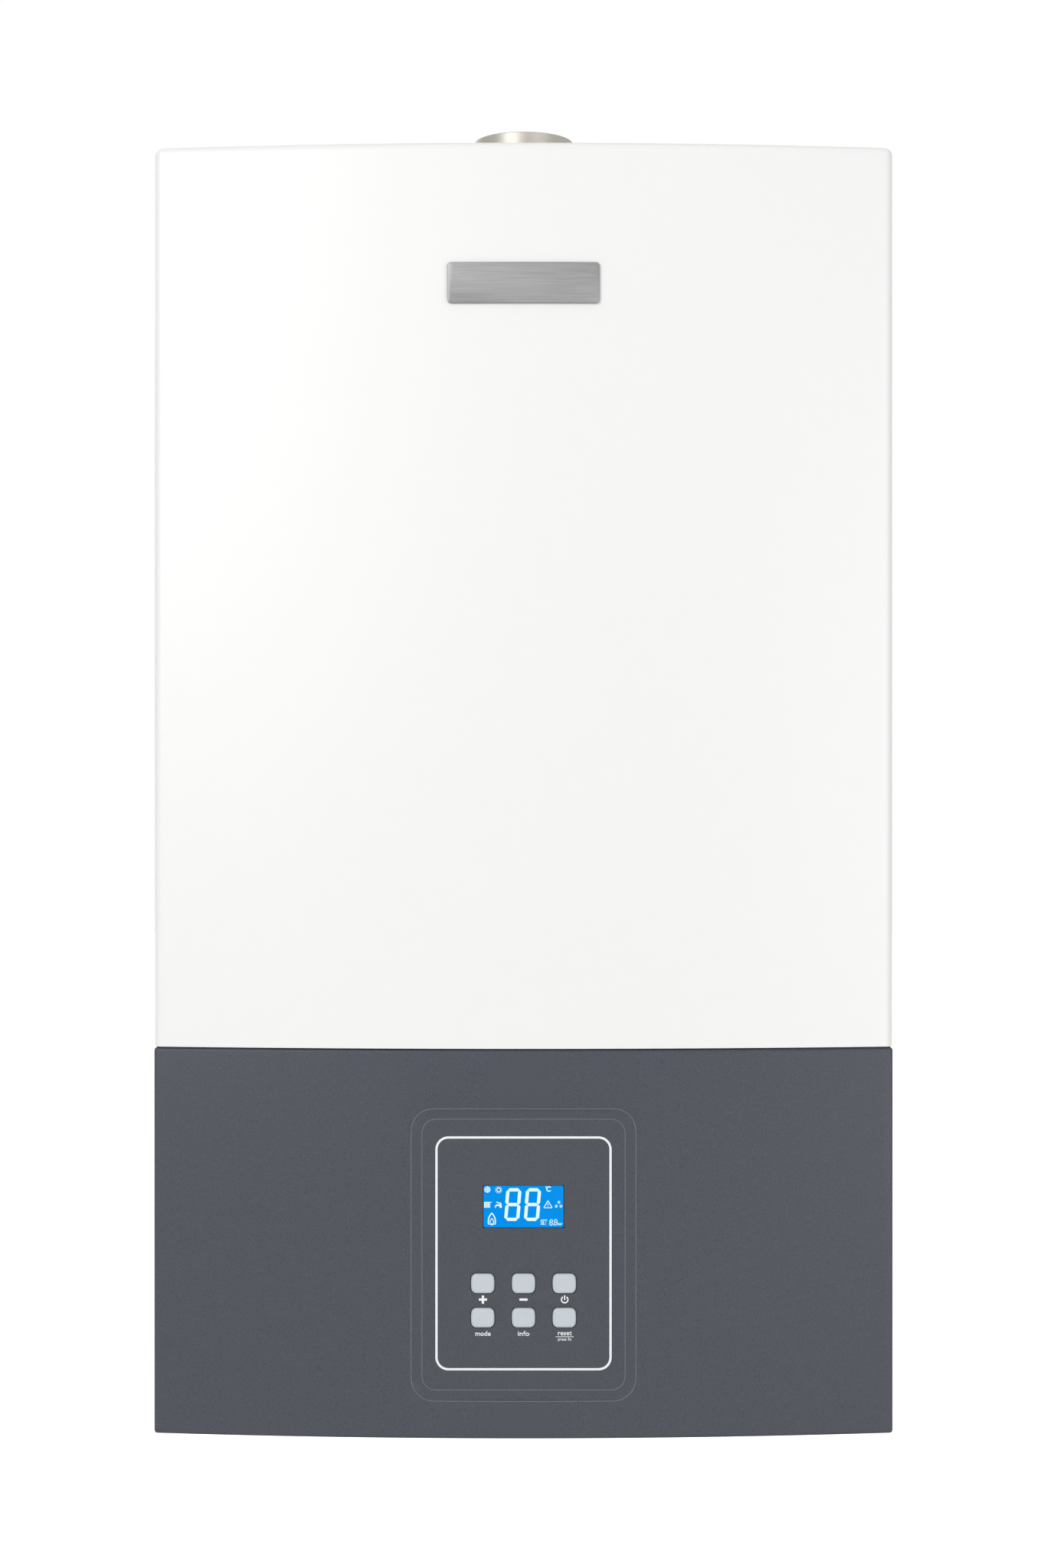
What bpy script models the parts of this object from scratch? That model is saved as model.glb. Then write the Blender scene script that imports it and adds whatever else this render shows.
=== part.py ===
# Wall-hung gas boiler: a bowed white casing cover over a dark tilting control panel,
# with the burner, heat exchanger, fan, pump and valves that work behind them.
# Metres, +Z up. The wall is the plane y = 0, the front looks along -Y, and the origin
# is the middle of the back panel's rear face.

import math

import bmesh
import bpy
from mathutils import Matrix, Vector

# Casing
CASE_WIDTH = 0.402
CASE_HEIGHT = 0.700
CASE_DEPTH = 0.320
FRONT_BOW = 0.0124
FRONT_SEGMENTS = 14
COVER_RETURN = 0.022
COVER_EDGE_RADIUS = 0.0043
COVER_FLANGE = 0.012
SHEET = 0.001
FIT = 0.0003
CUT_MARGIN = 0.005
SEAM_GAP = 0.0008
SIDE_FLANGE = 0.010
LIP_DEPTH = 0.015
LIP_SIDE_GAP = 0.013
HANGING_SLOT_X = 0.130
HANGING_SLOT_DROP = 0.040
HANGING_SLOT_WIDTH = 0.012
HANGING_SLOT_HEIGHT = 0.022

# Name plate, left bare
BADGE_WIDTH = 0.082
BADGE_HEIGHT = 0.022
BADGE_THICKNESS = 0.0015
BADGE_BELOW_TOP = 0.0765
BADGE_CORNER = 0.0018
BADGE_SEGMENTS = 6

# Flue and air connection
FLUE_WALL_DISTANCE = 0.140
FLUE_DIAMETER = 0.060
FLUE_WALL = 0.0015
FLUE_HEIGHT = 0.0428
FLUE_DEPTH = 0.023
FLUE_RING_WIDTH = 0.005
FLUE_BEAD_HEIGHT = 0.0008
FLUE_BEAD_BELOW_RIM = 0.010
FLUE_BEAD_SLOPE = 0.001
FLUE_BEAD_WIDTH = 0.002
AIR_DIAMETER = 0.100
AIR_WALL = 0.0015
AIR_HEIGHT = 0.025
AIR_FLANGE_DIAMETER = 0.124
AIR_FLANGE_THICKNESS = 0.0015
INTAKE_SLOT_INNER = 0.037
INTAKE_SLOT_OUTER = 0.046
INTAKE_SLOT_ANGLE = 62.0

# Control panel
PANEL_HEIGHT = 0.2105
PANEL_WALL = 0.0025
PANEL_EDGE_RADIUS = 0.0018
PANEL_PIVOT_INSET = 0.005
PANEL_TOP_RETURN = 0.008
FIELD_WIDTH = 0.1212
FIELD_HEIGHT = 0.1577
FIELD_CORNER = 0.012
FIELD_FLOOR_CORNER = 0.0075
FIELD_SLOPE = 0.0058
FIELD_DEPTH = 0.0016
FIELD_CENTRE_HEIGHT = 0.0993
FIELD_PAD = 0.0037
FIELD_PAD_MARGIN = 0.001
WINDOW_WIDTH = 0.0432
WINDOW_HEIGHT = 0.0225
WINDOW_CENTRE_HEIGHT = 0.1251
WINDOW_THICKNESS = 0.0015
BUTTON_WIDTH = 0.0128
BUTTON_HEIGHT = 0.01065
BUTTON_PITCH_X = 0.0220
BUTTON_PITCH_Z = 0.0185
BUTTON_LOW_ROW = 0.0653
BUTTON_PROUD = 0.0016
BUTTON_TRAVEL = 0.0008
BUTTON_COLLAR = 0.0012
BUTTON_BULGE = 0.0007
BUTTON_CORNER = 0.0022
BUTTON_RIM = 0.0007
BUTTON_COLLAR_MARGIN = 0.001
BUTTON_STEM_RADIUS = 0.002
BOARD_WIDTH = 0.104
BOARD_HEIGHT = 0.130
BOARD_THICKNESS = 0.0016
BOARD_DISTANCE = 0.0095
BOARD_POST_RADIUS = 0.0025
BOARD_POST_INSET = 0.005
DISPLAY_WIDTH = 0.050
DISPLAY_HEIGHT = 0.030
BOX_SIDE_GAP = 0.043
BOX_SETBACK = 0.020
BOX_DEPTH = 0.055
BOX_WALL = 0.002
BOX_BELOW_SEAM = 0.0105
BOX_ABOVE_BOTTOM = 0.0130
BOX_SCREW_INSET = 0.023
BOX_SCREW_MARGIN = 0.006
BOX_CORNER = 0.004
BOX_SCREW_RADIUS = 0.004
HINGE_LUG = 0.003
HINGE_EYE_RADIUS = 0.0042
HINGE_PIN_RADIUS = 0.002
HINGE_EAR = 0.002
HINGE_BASE_WIDTH = 0.016
HINGE_BASE_DEPTH = 0.028
HINGE_BASE_THICKNESS = 0.0015
HINGE_NOTCH_WIDTH = 0.016
HINGE_NOTCH_DEPTH = 0.011
HINGE_NOTCH_GAP = 0.003
HINGE_BASE_SETBACK = 0.003
HINGE_SIDE_GAP = 0.002
HINGE_PIN_OVERHANG = 0.001

# Expansion vessel, flat against the back panel
VESSEL_RADIUS = 0.160
VESSEL_DEPTH = 0.064
VESSEL_RIM = 0.004
VESSEL_RIM_REACH = 0.006
VESSEL_SHOULDER = 0.028
VESSEL_Z = 0.080
VESSEL_NIPPLE_RADIUS = 0.008
VESSEL_NIPPLE_LENGTH = 0.030
VESSEL_NIPPLE_ROOT = 0.012

# Burner, combustion chamber, heat exchanger and flue hood, one above the other
STACK_SIDE_GAP = 0.076
STACK_REAR = 0.075
STACK_DEPTH = 0.145
BURNER_LOW = -0.035
BURNER_HEIGHT = 0.0547
BLADE_COUNT = 11
BLADE_END_GAP = 0.023
BLADE_WIDTH = 0.009
BLADE_BELOW_RAIL = 0.006
BLADE_NECK = 0.45
BLADE_SHOULDER = 0.026
BLADE_NECK_HEIGHT = 0.034
BLADE_RIDGE = 0.002
BLADE_MOUTH_RADIUS = 0.0035
BLADE_MOUTH_DEPTH = 0.012
RAIL_THICKNESS = 0.002
RAIL_HEIGHT = 0.024
CHAMBER_HEIGHT = 0.110
CHAMBER_WALL = 0.0015
CHAMBER_FLANGE = 0.010
CHAMBER_FRONT_THICKNESS = 0.0015
CHAMBER_RIB_INSET = 0.028
CHAMBER_RIB_MARGIN = 0.015
CHAMBER_RIB_WIDTH = 0.012
CHAMBER_RIB_DEPTH = 0.002
SIGHT_HOLE_RADIUS = 0.008
EXCHANGER_HEIGHT = 0.054
FIN_COUNT = 26
FIN_THICKNESS = 0.0015
FIN_WEB = 0.016
TUBE_RADIUS = 0.008
TUBE_COUNT = 5
TUBE_PITCH = 0.027
TUBE_BEND_LEAD = 0.003
STUB_LENGTH = 0.021
SIDE_PLATE = 0.002
HOOD_SKIRT = 0.006
HOOD_RISE = 0.008
HOOD_WALL = 0.001
THROAT_DEPTH = 0.042
THROAT_LEFT = 0.020
THROAT_SIDE_GAP = 0.002
THROAT_BELOW_OUTLET = 0.004
CHAMBER_BRACKET_DEPTH = 0.045
CHAMBER_BRACKET_INSET = 0.050
CHAMBER_BRACKET_Z = 0.060
CHAMBER_BRACKET_THICKNESS = 0.002
CHAMBER_BRACKET_FLANGE = 0.014

# Fan
FAN_X = 0.041
FAN_Z = 0.262
FAN_WIDTH = 0.044
FAN_WALL = 0.001
SCROLL_START = 0.040
SCROLL_END = 0.062
SCROLL_OUTLET_TOP = 0.312
SCROLL_OUTLET_WIDTH = 0.042
SCROLL_STEPS = 22
INLET_RADIUS = 0.024
WHEEL_RADIUS = 0.033
WHEEL_WIDTH = 0.026
WHEEL_REAR_GAP = 0.003
WHEEL_DISC = 0.0015
WHEEL_RING = 0.001
WHEEL_RING_WIDTH = 0.008
WHEEL_HUB_RADIUS = 0.0066
WHEEL_HUB_LENGTH = 0.010
WHEEL_BLADE_DEPTH = 0.0071
WHEEL_BLADE_EDGE = 0.0004
WHEEL_BLADE_SWEEP = 0.22
WHEEL_SINK = 0.0005
WHEEL_BLADES = 18
WHEEL_BLADE_THICKNESS = 0.001
FAN_SHAFT_RADIUS = 0.003
FAN_MOTOR_RADIUS = 0.022
FAN_MOTOR_LENGTH = 0.032
FAN_CORE_SIZE = 0.060
FAN_CORE_HEIGHT = 0.048
FAN_CORE_DEPTH = 0.014
FAN_CORE_CORNER = 0.003
FAN_CORE_SETBACK = 0.010
FAN_COIL_RADIUS = 0.009
FAN_COIL_LENGTH = 0.024
FAN_COIL_INSET = 0.004
FAN_COIL_SETBACK = 0.017
FAN_SHAFT_REACH = 0.012
FAN_SHAFT_BORE = 0.018
FAN_HOUSING_BORE = 0.006
OUTLET_LOFT = 0.016
OUTLET_COLLAR = 0.008
OUTLET_SIDES = 24

# Gas side
GAS_VALVE_HALF_WIDTH = 0.036
GAS_VALVE_REAR = 0.045
GAS_VALVE_DEPTH = 0.057
GAS_VALVE_HEIGHT = 0.085
GAS_VALVE_BODY_HEIGHT = 0.052
GAS_VALVE_CORNER = 0.004
GAS_COIL_RADIUS = 0.012
GAS_COIL_OFFSET = 0.017
GAS_COIL_BELOW_TOP = 0.004
GAS_OUTLET_OFFSET = 0.017
GAS_OUTLET_WALL = 0.002
GAS_SINK = 0.002
GAS_PIPE_RADIUS = 0.008
GAS_PIPE_BEND = 0.018
GAS_PIPE_FIRST_RISE = 0.090
GAS_PIPE_LAST_RISE = 0.040
MANIFOLD_SIZE = 0.012
MANIFOLD_END = 0.012
MANIFOLD_HEIGHT = 0.015
NOZZLE_RADIUS = 0.003
NOZZLE_LENGTH = 0.0065
NOZZLE_TAPER = 0.6
ELECTRODE_X = 0.060
ELECTRODE_RADIUS = 0.003
ELECTRODE_LENGTH = 0.045
ELECTRODE_HEIGHT = 0.012
ELECTRODE_FRONT = 0.022
ELECTRODE_WIRE_RADIUS = 0.001
ELECTRODE_WIRE_LENGTH = 0.012
ELECTRODE_PIN_RADIUS = 0.0015
ELECTRODE_PIN_LENGTH = 0.008
ELECTRODE_SINK = 0.001

# Water side
NIPPLE_SIDE_GAP = 0.071
NIPPLE_WALL_DISTANCE = 0.075
NIPPLE_BELOW = 0.028
LARGE_THREAD_RADIUS = 0.0132
SMALL_THREAD_RADIUS = 0.0105
NIPPLE_WALL = 0.003
NIPPLE_NUT = 0.008
NIPPLE_NUT_REACH = 0.003
NIPPLE_CHAMFER = 0.001
BLOCK_INNER_X = 0.045
BLOCK_SIDE_GAP = 0.051
BLOCK_DEPTH = 0.055
BLOCK_ABOVE_BOTTOM = 0.020
BLOCK_HEIGHT = 0.045
BLOCK_CORNER = 0.006
BLOCK_SHIFT = 0.0025
PUMP_INSET = 0.045
PUMP_Z = -0.215
VOLUTE_RADIUS = 0.046
VOLUTE_WIDTH = 0.050
VOLUTE_CAVITY_RADIUS = 0.033
VOLUTE_CAVITY_DEPTH = 0.030
PUMP_STUB_RADIUS = 0.018
PUMP_STUB_SINK = 0.010
PUMP_OUTLET_OFFSET = 0.035
PUMP_OUTLET_WALL = 0.003
PUMP_OUTLET_TOP = -0.150
PUMP_MOTOR_RADIUS = 0.042
PUMP_MOTOR_LENGTH = 0.072
PUMP_FLANGE_THICKNESS = 0.008
PUMP_CAP_STEP = 0.002
PUMP_CAP_SHOULDER = 0.006
PUMP_SHAFT_RADIUS = 0.003
PUMP_SHAFT_REACH = 0.012
PUMP_SHAFT_BORE = 0.014
PUMP_BOX_REACH = 0.006
PUMP_BOX_REAR = 0.010
PUMP_WHEEL_RADIUS = 0.029
PUMP_WHEEL_WIDTH = 0.014
PUMP_WHEEL_SETBACK = 0.006
PUMP_WHEEL_DISC = 0.002
PUMP_VANES = 6
PUMP_VANE_ROOT = 0.006
PUMP_VANE_TIP_GAP = 0.001
PUMP_VANE_SWEEP = 1.0
PUMP_VANE_THICKNESS = 0.002
PLATE_HALF_LENGTH = 0.095
PLATE_HEIGHT = 0.072
PLATE_STACK_DEPTH = 0.044
PLATE_COUNT = 8
PLATE_CORNER = 0.016
PLATE_WAIST = 0.0012
PLATE_ABOVE_FLOOR = 0.009
DIVERTER_INSET = 0.025
DIVERTER_WIDTH = 0.044
DIVERTER_HEIGHT = 0.048
DIVERTER_FOOT = 0.008
DIVERTER_FOOT_RADIUS = 0.014
DIVERTER_REAR_TRIM = 0.006
DIVERTER_CORNER = 0.005
DIVERTER_SINK = 0.002
RISER_RADIUS = 0.009
RISER_SIDE_GAP = 0.029
RISER_BEND = 0.014
FLOW_KINK_TOP = -0.110
FLOW_KINK_FOOT = -0.200
RETURN_RISE = 0.040
VENT_OFFSET = 0.032
VENT_NECK = 0.012
VENT_ROOT = 0.010
VENT_RADIUS = 0.014
VENT_HEIGHT = 0.040
VENT_SHOULDER = 0.010
VENT_CAP = 0.005
VENT_FOOT = 0.004
VESSEL_PIPE_RADIUS = 0.005
VESSEL_PIPE_BEND = 0.015
VESSEL_PIPE_DROP = 0.030
VESSEL_PIPE_SLANT = 0.050
VESSEL_PIPE_INSET = 0.015
VESSEL_PIPE_EDGE = 0.001
SAFETY_SIDE_GAP = 0.030
SAFETY_RADIUS = 0.012
SAFETY_LENGTH = 0.062
SAFETY_REAR_INSET = 0.004
SAFETY_ARM_RADIUS = 0.007
SAFETY_OUTLET_GAP = 0.010
SAFETY_KNOB_RADIUS = 0.014
SAFETY_KNOB_LENGTH = 0.016
KNOB_FLUTES = 8
KNOB_FLUTE_RADIUS = 0.0035
KNOB_FLUTE_OFFSET = 0.002
KNOB_FLUTE_START = 0.003
TAP_RADIUS = 0.010
TAP_HEIGHT = 0.016
TAP_GAP = 0.0022
TAP_STEM_RADIUS = 0.004
TAP_STEM_SINK = 0.002
TAP_GRIP_REACH = 0.003
TAP_GRIP_HALF = 0.003
TAP_GRIP_FOOT = 0.001
TAP_GRIP_TOP = 0.003
TAP_GRIP_EDGE = 0.0015
TAP_SLOT_HALF = 0.0012
TAP_SLOT_DEPTH = 0.004
GLAND_SIDE_GAP = 0.051
GLAND_Y = -0.200
GLAND_RADIUS = 0.009
GLAND_THREAD_RADIUS = 0.006
GLAND_BORE_RADIUS = 0.003
GLAND_ABOVE = 0.012
GLAND_NUT = 0.006
GLAND_BELOW = 0.014
GLAND_TAPER = 0.7
SWITCH_RADIUS = 0.032
SWITCH_DEPTH = 0.024
SWITCH_Z = 0.270
SWITCH_Y = -0.150
SWITCH_BOSS = 0.35
SWITCH_BOSS_HEIGHT = 0.006
SWITCH_EDGE = 0.9
SWITCH_SLOPE = 0.008
SWITCH_FOOT = 0.004
SWITCH_RIM = 0.001
SWITCH_PORT_RADIUS = 0.0025
SWITCH_PORT_LENGTH = 0.010
SWITCH_PORT_PITCH = 0.010

# Places that follow from the casing
HALF_WIDTH = CASE_WIDTH / 2
TOP = CASE_HEIGHT / 2
BOTTOM = -CASE_HEIGHT / 2
CORNER_Y = -(CASE_DEPTH - FRONT_BOW)
RETURN_Y = CORNER_Y + COVER_RETURN
SEAM_Z = BOTTOM + PANEL_HEIGHT
PANEL_TOP = SEAM_Z - SEAM_GAP
INNER_HALF_WIDTH = HALF_WIDTH - SHEET - FIT
LIP_HALF_WIDTH = HALF_WIDTH - LIP_SIDE_GAP
BOX_HALF_WIDTH = HALF_WIDTH - BOX_SIDE_GAP
BOX_FRONT_Y = -(CASE_DEPTH - BOX_SETBACK)
BOX_SCREW_X = BOX_HALF_WIDTH - BOX_SCREW_INSET
STACK_HALF_WIDTH = HALF_WIDTH - STACK_SIDE_GAP
BLADE_PITCH = 2 * (STACK_HALF_WIDTH - BLADE_END_GAP) / (BLADE_COUNT - 1)
STUB_X = STACK_HALF_WIDTH + STUB_LENGTH
THROAT_RIGHT = FAN_X + SCROLL_END + THROAT_SIDE_GAP
THROAT_TOP = SCROLL_OUTLET_TOP - THROAT_BELOW_OUTLET
NIPPLE_PITCH = (HALF_WIDTH - NIPPLE_SIDE_GAP) / 2
TAP_X = NIPPLE_PITCH * 3 / 2
GLAND_X = HALF_WIDTH - GLAND_SIDE_GAP
BLOCK_OUTER_X = HALF_WIDTH - BLOCK_SIDE_GAP
PUMP_X = BLOCK_OUTER_X - PUMP_INSET
PUMP_OUTLET_X = PUMP_X - PUMP_OUTLET_OFFSET
VENT_X = PUMP_X + VENT_OFFSET
DIVERTER_X = -BLOCK_OUTER_X + DIVERTER_INSET
RISER_X = HALF_WIDTH - RISER_SIDE_GAP
SAFETY_X = HALF_WIDTH - SAFETY_SIDE_GAP
PIVOT_Y = RETURN_Y - PANEL_PIVOT_INSET
PIVOT_Z = BOTTOM + PANEL_PIVOT_INSET
BOW_RADIUS = (HALF_WIDTH ** 2 + FRONT_BOW ** 2) / (2 * FRONT_BOW)
FIELD_Y = -(CASE_DEPTH - FIELD_DEPTH)
FIELD_Z = BOTTOM + FIELD_CENTRE_HEIGHT
PAD_Y = FIELD_Y + FIELD_PAD
BOARD_Y = PAD_Y + BOARD_DISTANCE
FLUE_Y = -FLUE_WALL_DISTANCE
STACK_REAR_Y = -STACK_REAR
STACK_FRONT_Y = STACK_REAR_Y - STACK_DEPTH
BURNER_TOP = BURNER_LOW + BURNER_HEIGHT
CHAMBER_LOW = BURNER_TOP + FIT
CHAMBER_TOP = CHAMBER_LOW + CHAMBER_HEIGHT
EXCHANGER_LOW = CHAMBER_TOP + FIT
EXCHANGER_TOP = EXCHANGER_LOW + EXCHANGER_HEIGHT
EXCHANGER_Z = (EXCHANGER_LOW + EXCHANGER_TOP) / 2
TUBE_MIDDLE_Y = STACK_REAR_Y - STACK_DEPTH / 2
FLOW_STUB_Y = TUBE_MIDDLE_Y - TUBE_PITCH * (TUBE_COUNT - 1) / 2
RETURN_STUB_Y = TUBE_MIDDLE_Y + TUBE_PITCH * (TUBE_COUNT - 1) / 2
HOOD_LOW = EXCHANGER_TOP + FIT
FAN_REAR_Y = FLUE_Y + FAN_WIDTH / 2
FAN_FRONT_Y = FLUE_Y - FAN_WIDTH / 2
THROAT_FRONT_Y = FAN_REAR_Y + FIT
NIPPLE_Y = -NIPPLE_WALL_DISTANCE
FLOOR_Z = BOTTOM + SHEET + FIT
BLOCK_LOW = BOTTOM + BLOCK_ABOVE_BOTTOM + FIT
BLOCK_TOP = BLOCK_LOW + BLOCK_HEIGHT
BLOCK_FRONT_Y = NIPPLE_Y - BLOCK_DEPTH / 2 - BLOCK_SHIFT
BLOCK_REAR_Y = BLOCK_FRONT_Y + BLOCK_DEPTH
VOLUTE_FRONT_Y = BLOCK_FRONT_Y
VOLUTE_REAR_Y = VOLUTE_FRONT_Y + VOLUTE_WIDTH
PUMP_Y = (VOLUTE_FRONT_Y + VOLUTE_REAR_Y) / 2
MANIFOLD_Z = BURNER_LOW + MANIFOLD_HEIGHT
MANIFOLD_REAR_Y = STACK_FRONT_Y - NOZZLE_LENGTH


def clear_scene():
    for obj in list(bpy.data.objects):
        bpy.data.objects.remove(obj, do_unlink=True)


clear_scene()
PARTS = bpy.data.collections.new("gas_boiler")
CUTTERS = bpy.data.collections.new("gas_boiler_cutters")
bpy.context.scene.collection.children.link(PARTS)
bpy.context.scene.collection.children.link(CUTTERS)


# Materials


def make_material(name, colour, roughness, metallic=0.0):
    material = bpy.data.materials.new(name)
    material.use_nodes = True
    shader = material.node_tree.nodes["Principled BSDF"]
    shader.inputs["Base Color"].default_value = (*colour, 1.0)
    shader.inputs["Roughness"].default_value = roughness
    shader.inputs["Metallic"].default_value = metallic
    material.diffuse_color = (*colour, 1.0)
    return material


WHITE_ENAMEL = make_material("white_enamel", (0.93, 0.93, 0.93), 0.35)
DARK_PLASTIC = make_material("dark_plastic", (0.090, 0.095, 0.110), 0.55)
BLACK_PLASTIC = make_material("black_plastic", (0.02, 0.02, 0.02), 0.5)
BUTTON_PLASTIC = make_material("button_plastic", (0.60, 0.65, 0.70), 0.4)
DISPLAY_GLASS = make_material("display_glass", (0.0, 0.28, 0.87), 0.15)
BOARD_GREEN = make_material("board_green", (0.01, 0.16, 0.06), 0.5)
GALVANISED = make_material("galvanised_steel", (0.55, 0.56, 0.57), 0.4, 0.9)
ALUMINIUM = make_material("brushed_aluminium", (0.55, 0.54, 0.53), 0.35, 1.0)
COPPER = make_material("copper", (0.80, 0.38, 0.22), 0.3, 1.0)
BRASS = make_material("brass", (0.72, 0.52, 0.22), 0.3, 1.0)
VESSEL_RED = make_material("vessel_red", (0.45, 0.03, 0.02), 0.4)
CERAMIC = make_material("ceramic", (0.85, 0.83, 0.78), 0.4)
CAST_IRON = make_material("cast_iron", (0.05, 0.06, 0.07), 0.7, 0.3)
STAINLESS = make_material("stainless_steel", (0.62, 0.62, 0.60), 0.3, 1.0)
BLUE_PLASTIC = make_material("blue_plastic", (0.02, 0.10, 0.45), 0.4)
RED_PLASTIC = make_material("red_plastic", (0.55, 0.02, 0.02), 0.4)


# Building blocks


def box_mesh(low, high):
    size = Vector(high) - Vector(low)
    centre = (Vector(high) + Vector(low)) / 2
    mesh = bmesh.new()
    place = Matrix.Translation(centre) @ Matrix.Diagonal((*size, 1.0))
    bmesh.ops.create_cube(mesh, size=1.0, matrix=place)
    return mesh


def rod_mesh(start, end, radius, sides=16, end_radius=None):
    start = Vector(start)
    end = Vector(end)
    turn = (end - start).to_track_quat("Z", "Y").to_matrix().to_4x4()
    mesh = bmesh.new()
    bmesh.ops.create_cone(
        mesh, cap_ends=True, segments=sides, radius1=radius,
        radius2=radius if end_radius is None else end_radius,
        depth=(end - start).length, matrix=Matrix.Translation((start + end) / 2) @ turn)
    return mesh


def prism_mesh(outline, start, end):
    """A flat outline, given as points, pushed from start to end along one vector."""
    mesh = bmesh.new()
    push = Vector(end) - Vector(start)
    corners = [mesh.verts.new(Vector(start) + Vector(point)) for point in outline]
    face = mesh.faces.new(corners)
    grown = bmesh.ops.extrude_face_region(mesh, geom=[face])
    moved = [item for item in grown["geom"] if isinstance(item, bmesh.types.BMVert)]
    bmesh.ops.translate(mesh, vec=push, verts=moved)
    bmesh.ops.recalc_face_normals(mesh, faces=mesh.faces)
    return mesh


def bevel_mesh(mesh, width, segments, chosen=None):
    """Rounds the edges that the test picks, or all of them."""
    edges = [edge for edge in mesh.edges if chosen is None or chosen(edge)]
    bmesh.ops.bevel(mesh, geom=edges, offset=width, segments=segments, profile=0.5, affect="EDGES")
    return mesh


def add_object(name, mesh, collection, origin, material=None):
    """Makes an object whose own origin is at the given place."""
    bmesh.ops.translate(mesh, vec=-Vector(origin), verts=mesh.verts)
    data = bpy.data.meshes.new(name)
    mesh.to_mesh(data)
    mesh.free()
    obj = bpy.data.objects.new(name, data)
    obj.location = origin
    collection.objects.link(obj)
    if material is not None:
        data.materials.append(material)
        data.shade_smooth()
        data.set_sharp_from_angle(angle=math.radians(35))
    return obj


def add_part(name, mesh, material, origin=(0.0, 0.0, 0.0)):
    return add_object(name, mesh, PARTS, origin, material)


def add_boolean(obj, mesh, operation):
    name = obj.name + "_" + operation.lower() + "_" + str(len(obj.modifiers))
    tool = add_object(name, mesh, CUTTERS, obj.location)
    tool.hide_render = True
    tool.display_type = "WIRE"
    step = obj.modifiers.new(operation.lower(), "BOOLEAN")
    step.operation = operation
    step.object = tool
    return obj


def cut(obj, mesh):
    return add_boolean(obj, mesh, "DIFFERENCE")


def fuse(obj, mesh):
    return add_boolean(obj, mesh, "UNION")


def turned_part(name, profile, material, centre, axis=(0.0, 0.0, 1.0), steps=32):
    """A profile of (radius, height) pairs spun about an axis through the centre."""
    data = bpy.data.meshes.new(name)
    points = [(radius, 0.0, height) for radius, height in profile]
    closed = profile[0][0] > 0.0
    edges = [(index, index + 1) for index in range(len(points) - 1)]
    if closed:
        edges.append((len(points) - 1, 0))
    data.from_pydata(points, edges, [])
    data.materials.append(material)
    obj = bpy.data.objects.new(name, data)
    obj.location = centre
    obj.rotation_mode = "QUATERNION"
    obj.rotation_quaternion = Vector(axis).to_track_quat("Z", "Y")
    PARTS.objects.link(obj)
    screw = obj.modifiers.new("turn", "SCREW")
    screw.steps = steps
    screw.render_steps = steps
    screw.use_merge_vertices = True
    screw.merge_threshold = 0.00001
    screw.use_smooth_shade = True
    return obj


def rounded_rectangle(width, height, radius, centre_x, centre_z, steps=4):
    """Points of a rounded rectangle in the XZ plane, seen from the front."""
    points = []
    for quarter, (side, up) in enumerate(((1, 1), (-1, 1), (-1, -1), (1, -1))):
        middle_x = centre_x + side * (width / 2 - radius)
        middle_z = centre_z + up * (height / 2 - radius)
        for step in range(steps + 1):
            angle = math.radians(90 * quarter + 90 * step / steps)
            x = middle_x + radius * math.cos(angle)
            z = middle_z + radius * math.sin(angle)
            points.append((x, 0.0, z))
    return points


def bow_y(x, inset=0.0):
    """The front surface of the casing at x, or a surface the inset behind it."""
    centre_y = -CASE_DEPTH + BOW_RADIUS
    return centre_y - math.sqrt((BOW_RADIUS - inset) ** 2 - x ** 2)


def bowed_row(half, inset, steps):
    """Points across the casing's bowed front, or across a surface the inset behind it."""
    places = [-half + 2 * half * step / steps for step in range(steps + 1)]
    return [(x, bow_y(x, inset), 0.0) for x in places]


def bowed_outline(inset, rear_y):
    """The casing's plan: a bowed front, flat sides and a straight rear, in the XY plane."""
    half = HALF_WIDTH - inset
    front = bowed_row(half, inset, FRONT_SEGMENTS)
    return [(-half, rear_y, 0.0)] + front + [(half, rear_y, 0.0)]


def edge_direction(edge):
    return (edge.verts[0].co - edge.verts[1].co).normalized()


def is_upright(edge):
    return abs(edge_direction(edge).z) > 0.9


# Casing: sheet-steel back, sides, top and bottom


def build_back_panel():
    mesh = box_mesh((-INNER_HALF_WIDTH, -SHEET, BOTTOM + SHEET + FIT),
                    (INNER_HALF_WIDTH, 0.0, TOP - SHEET - FIT))
    panel = add_part("back_panel", mesh, GALVANISED)
    for side in (-1, 1):
        slot_x = side * HANGING_SLOT_X
        slot_z = TOP - HANGING_SLOT_DROP
        slot = rounded_rectangle(HANGING_SLOT_WIDTH, HANGING_SLOT_HEIGHT,
                                 HANGING_SLOT_WIDTH * 0.45, slot_x, slot_z)
        cut(panel, prism_mesh(slot, (0, -3 * SHEET, 0), (0, 2 * SHEET, 0)))


def build_side_panels():
    front_y = RETURN_Y + FIT
    for name, side in (("side_panel_left", -1), ("side_panel_right", 1)):
        outer = side * HALF_WIDTH
        inner = side * (HALF_WIDTH - SHEET)
        tip = side * (HALF_WIDTH - SHEET - SIDE_FLANGE)
        sheet = box_mesh((min(outer, inner), front_y, BOTTOM), (max(outer, inner), 0.0, TOP))
        panel = add_part(name, sheet, WHITE_ENAMEL, (outer, front_y / 2, 0.0))
        middle = (outer + inner) / 2
        flange = box_mesh((min(middle, tip), front_y, BOTTOM + SHEET + FIT),
                          (max(middle, tip), front_y + SHEET, TOP - SHEET - FIT))
        fuse(panel, flange)


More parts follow.
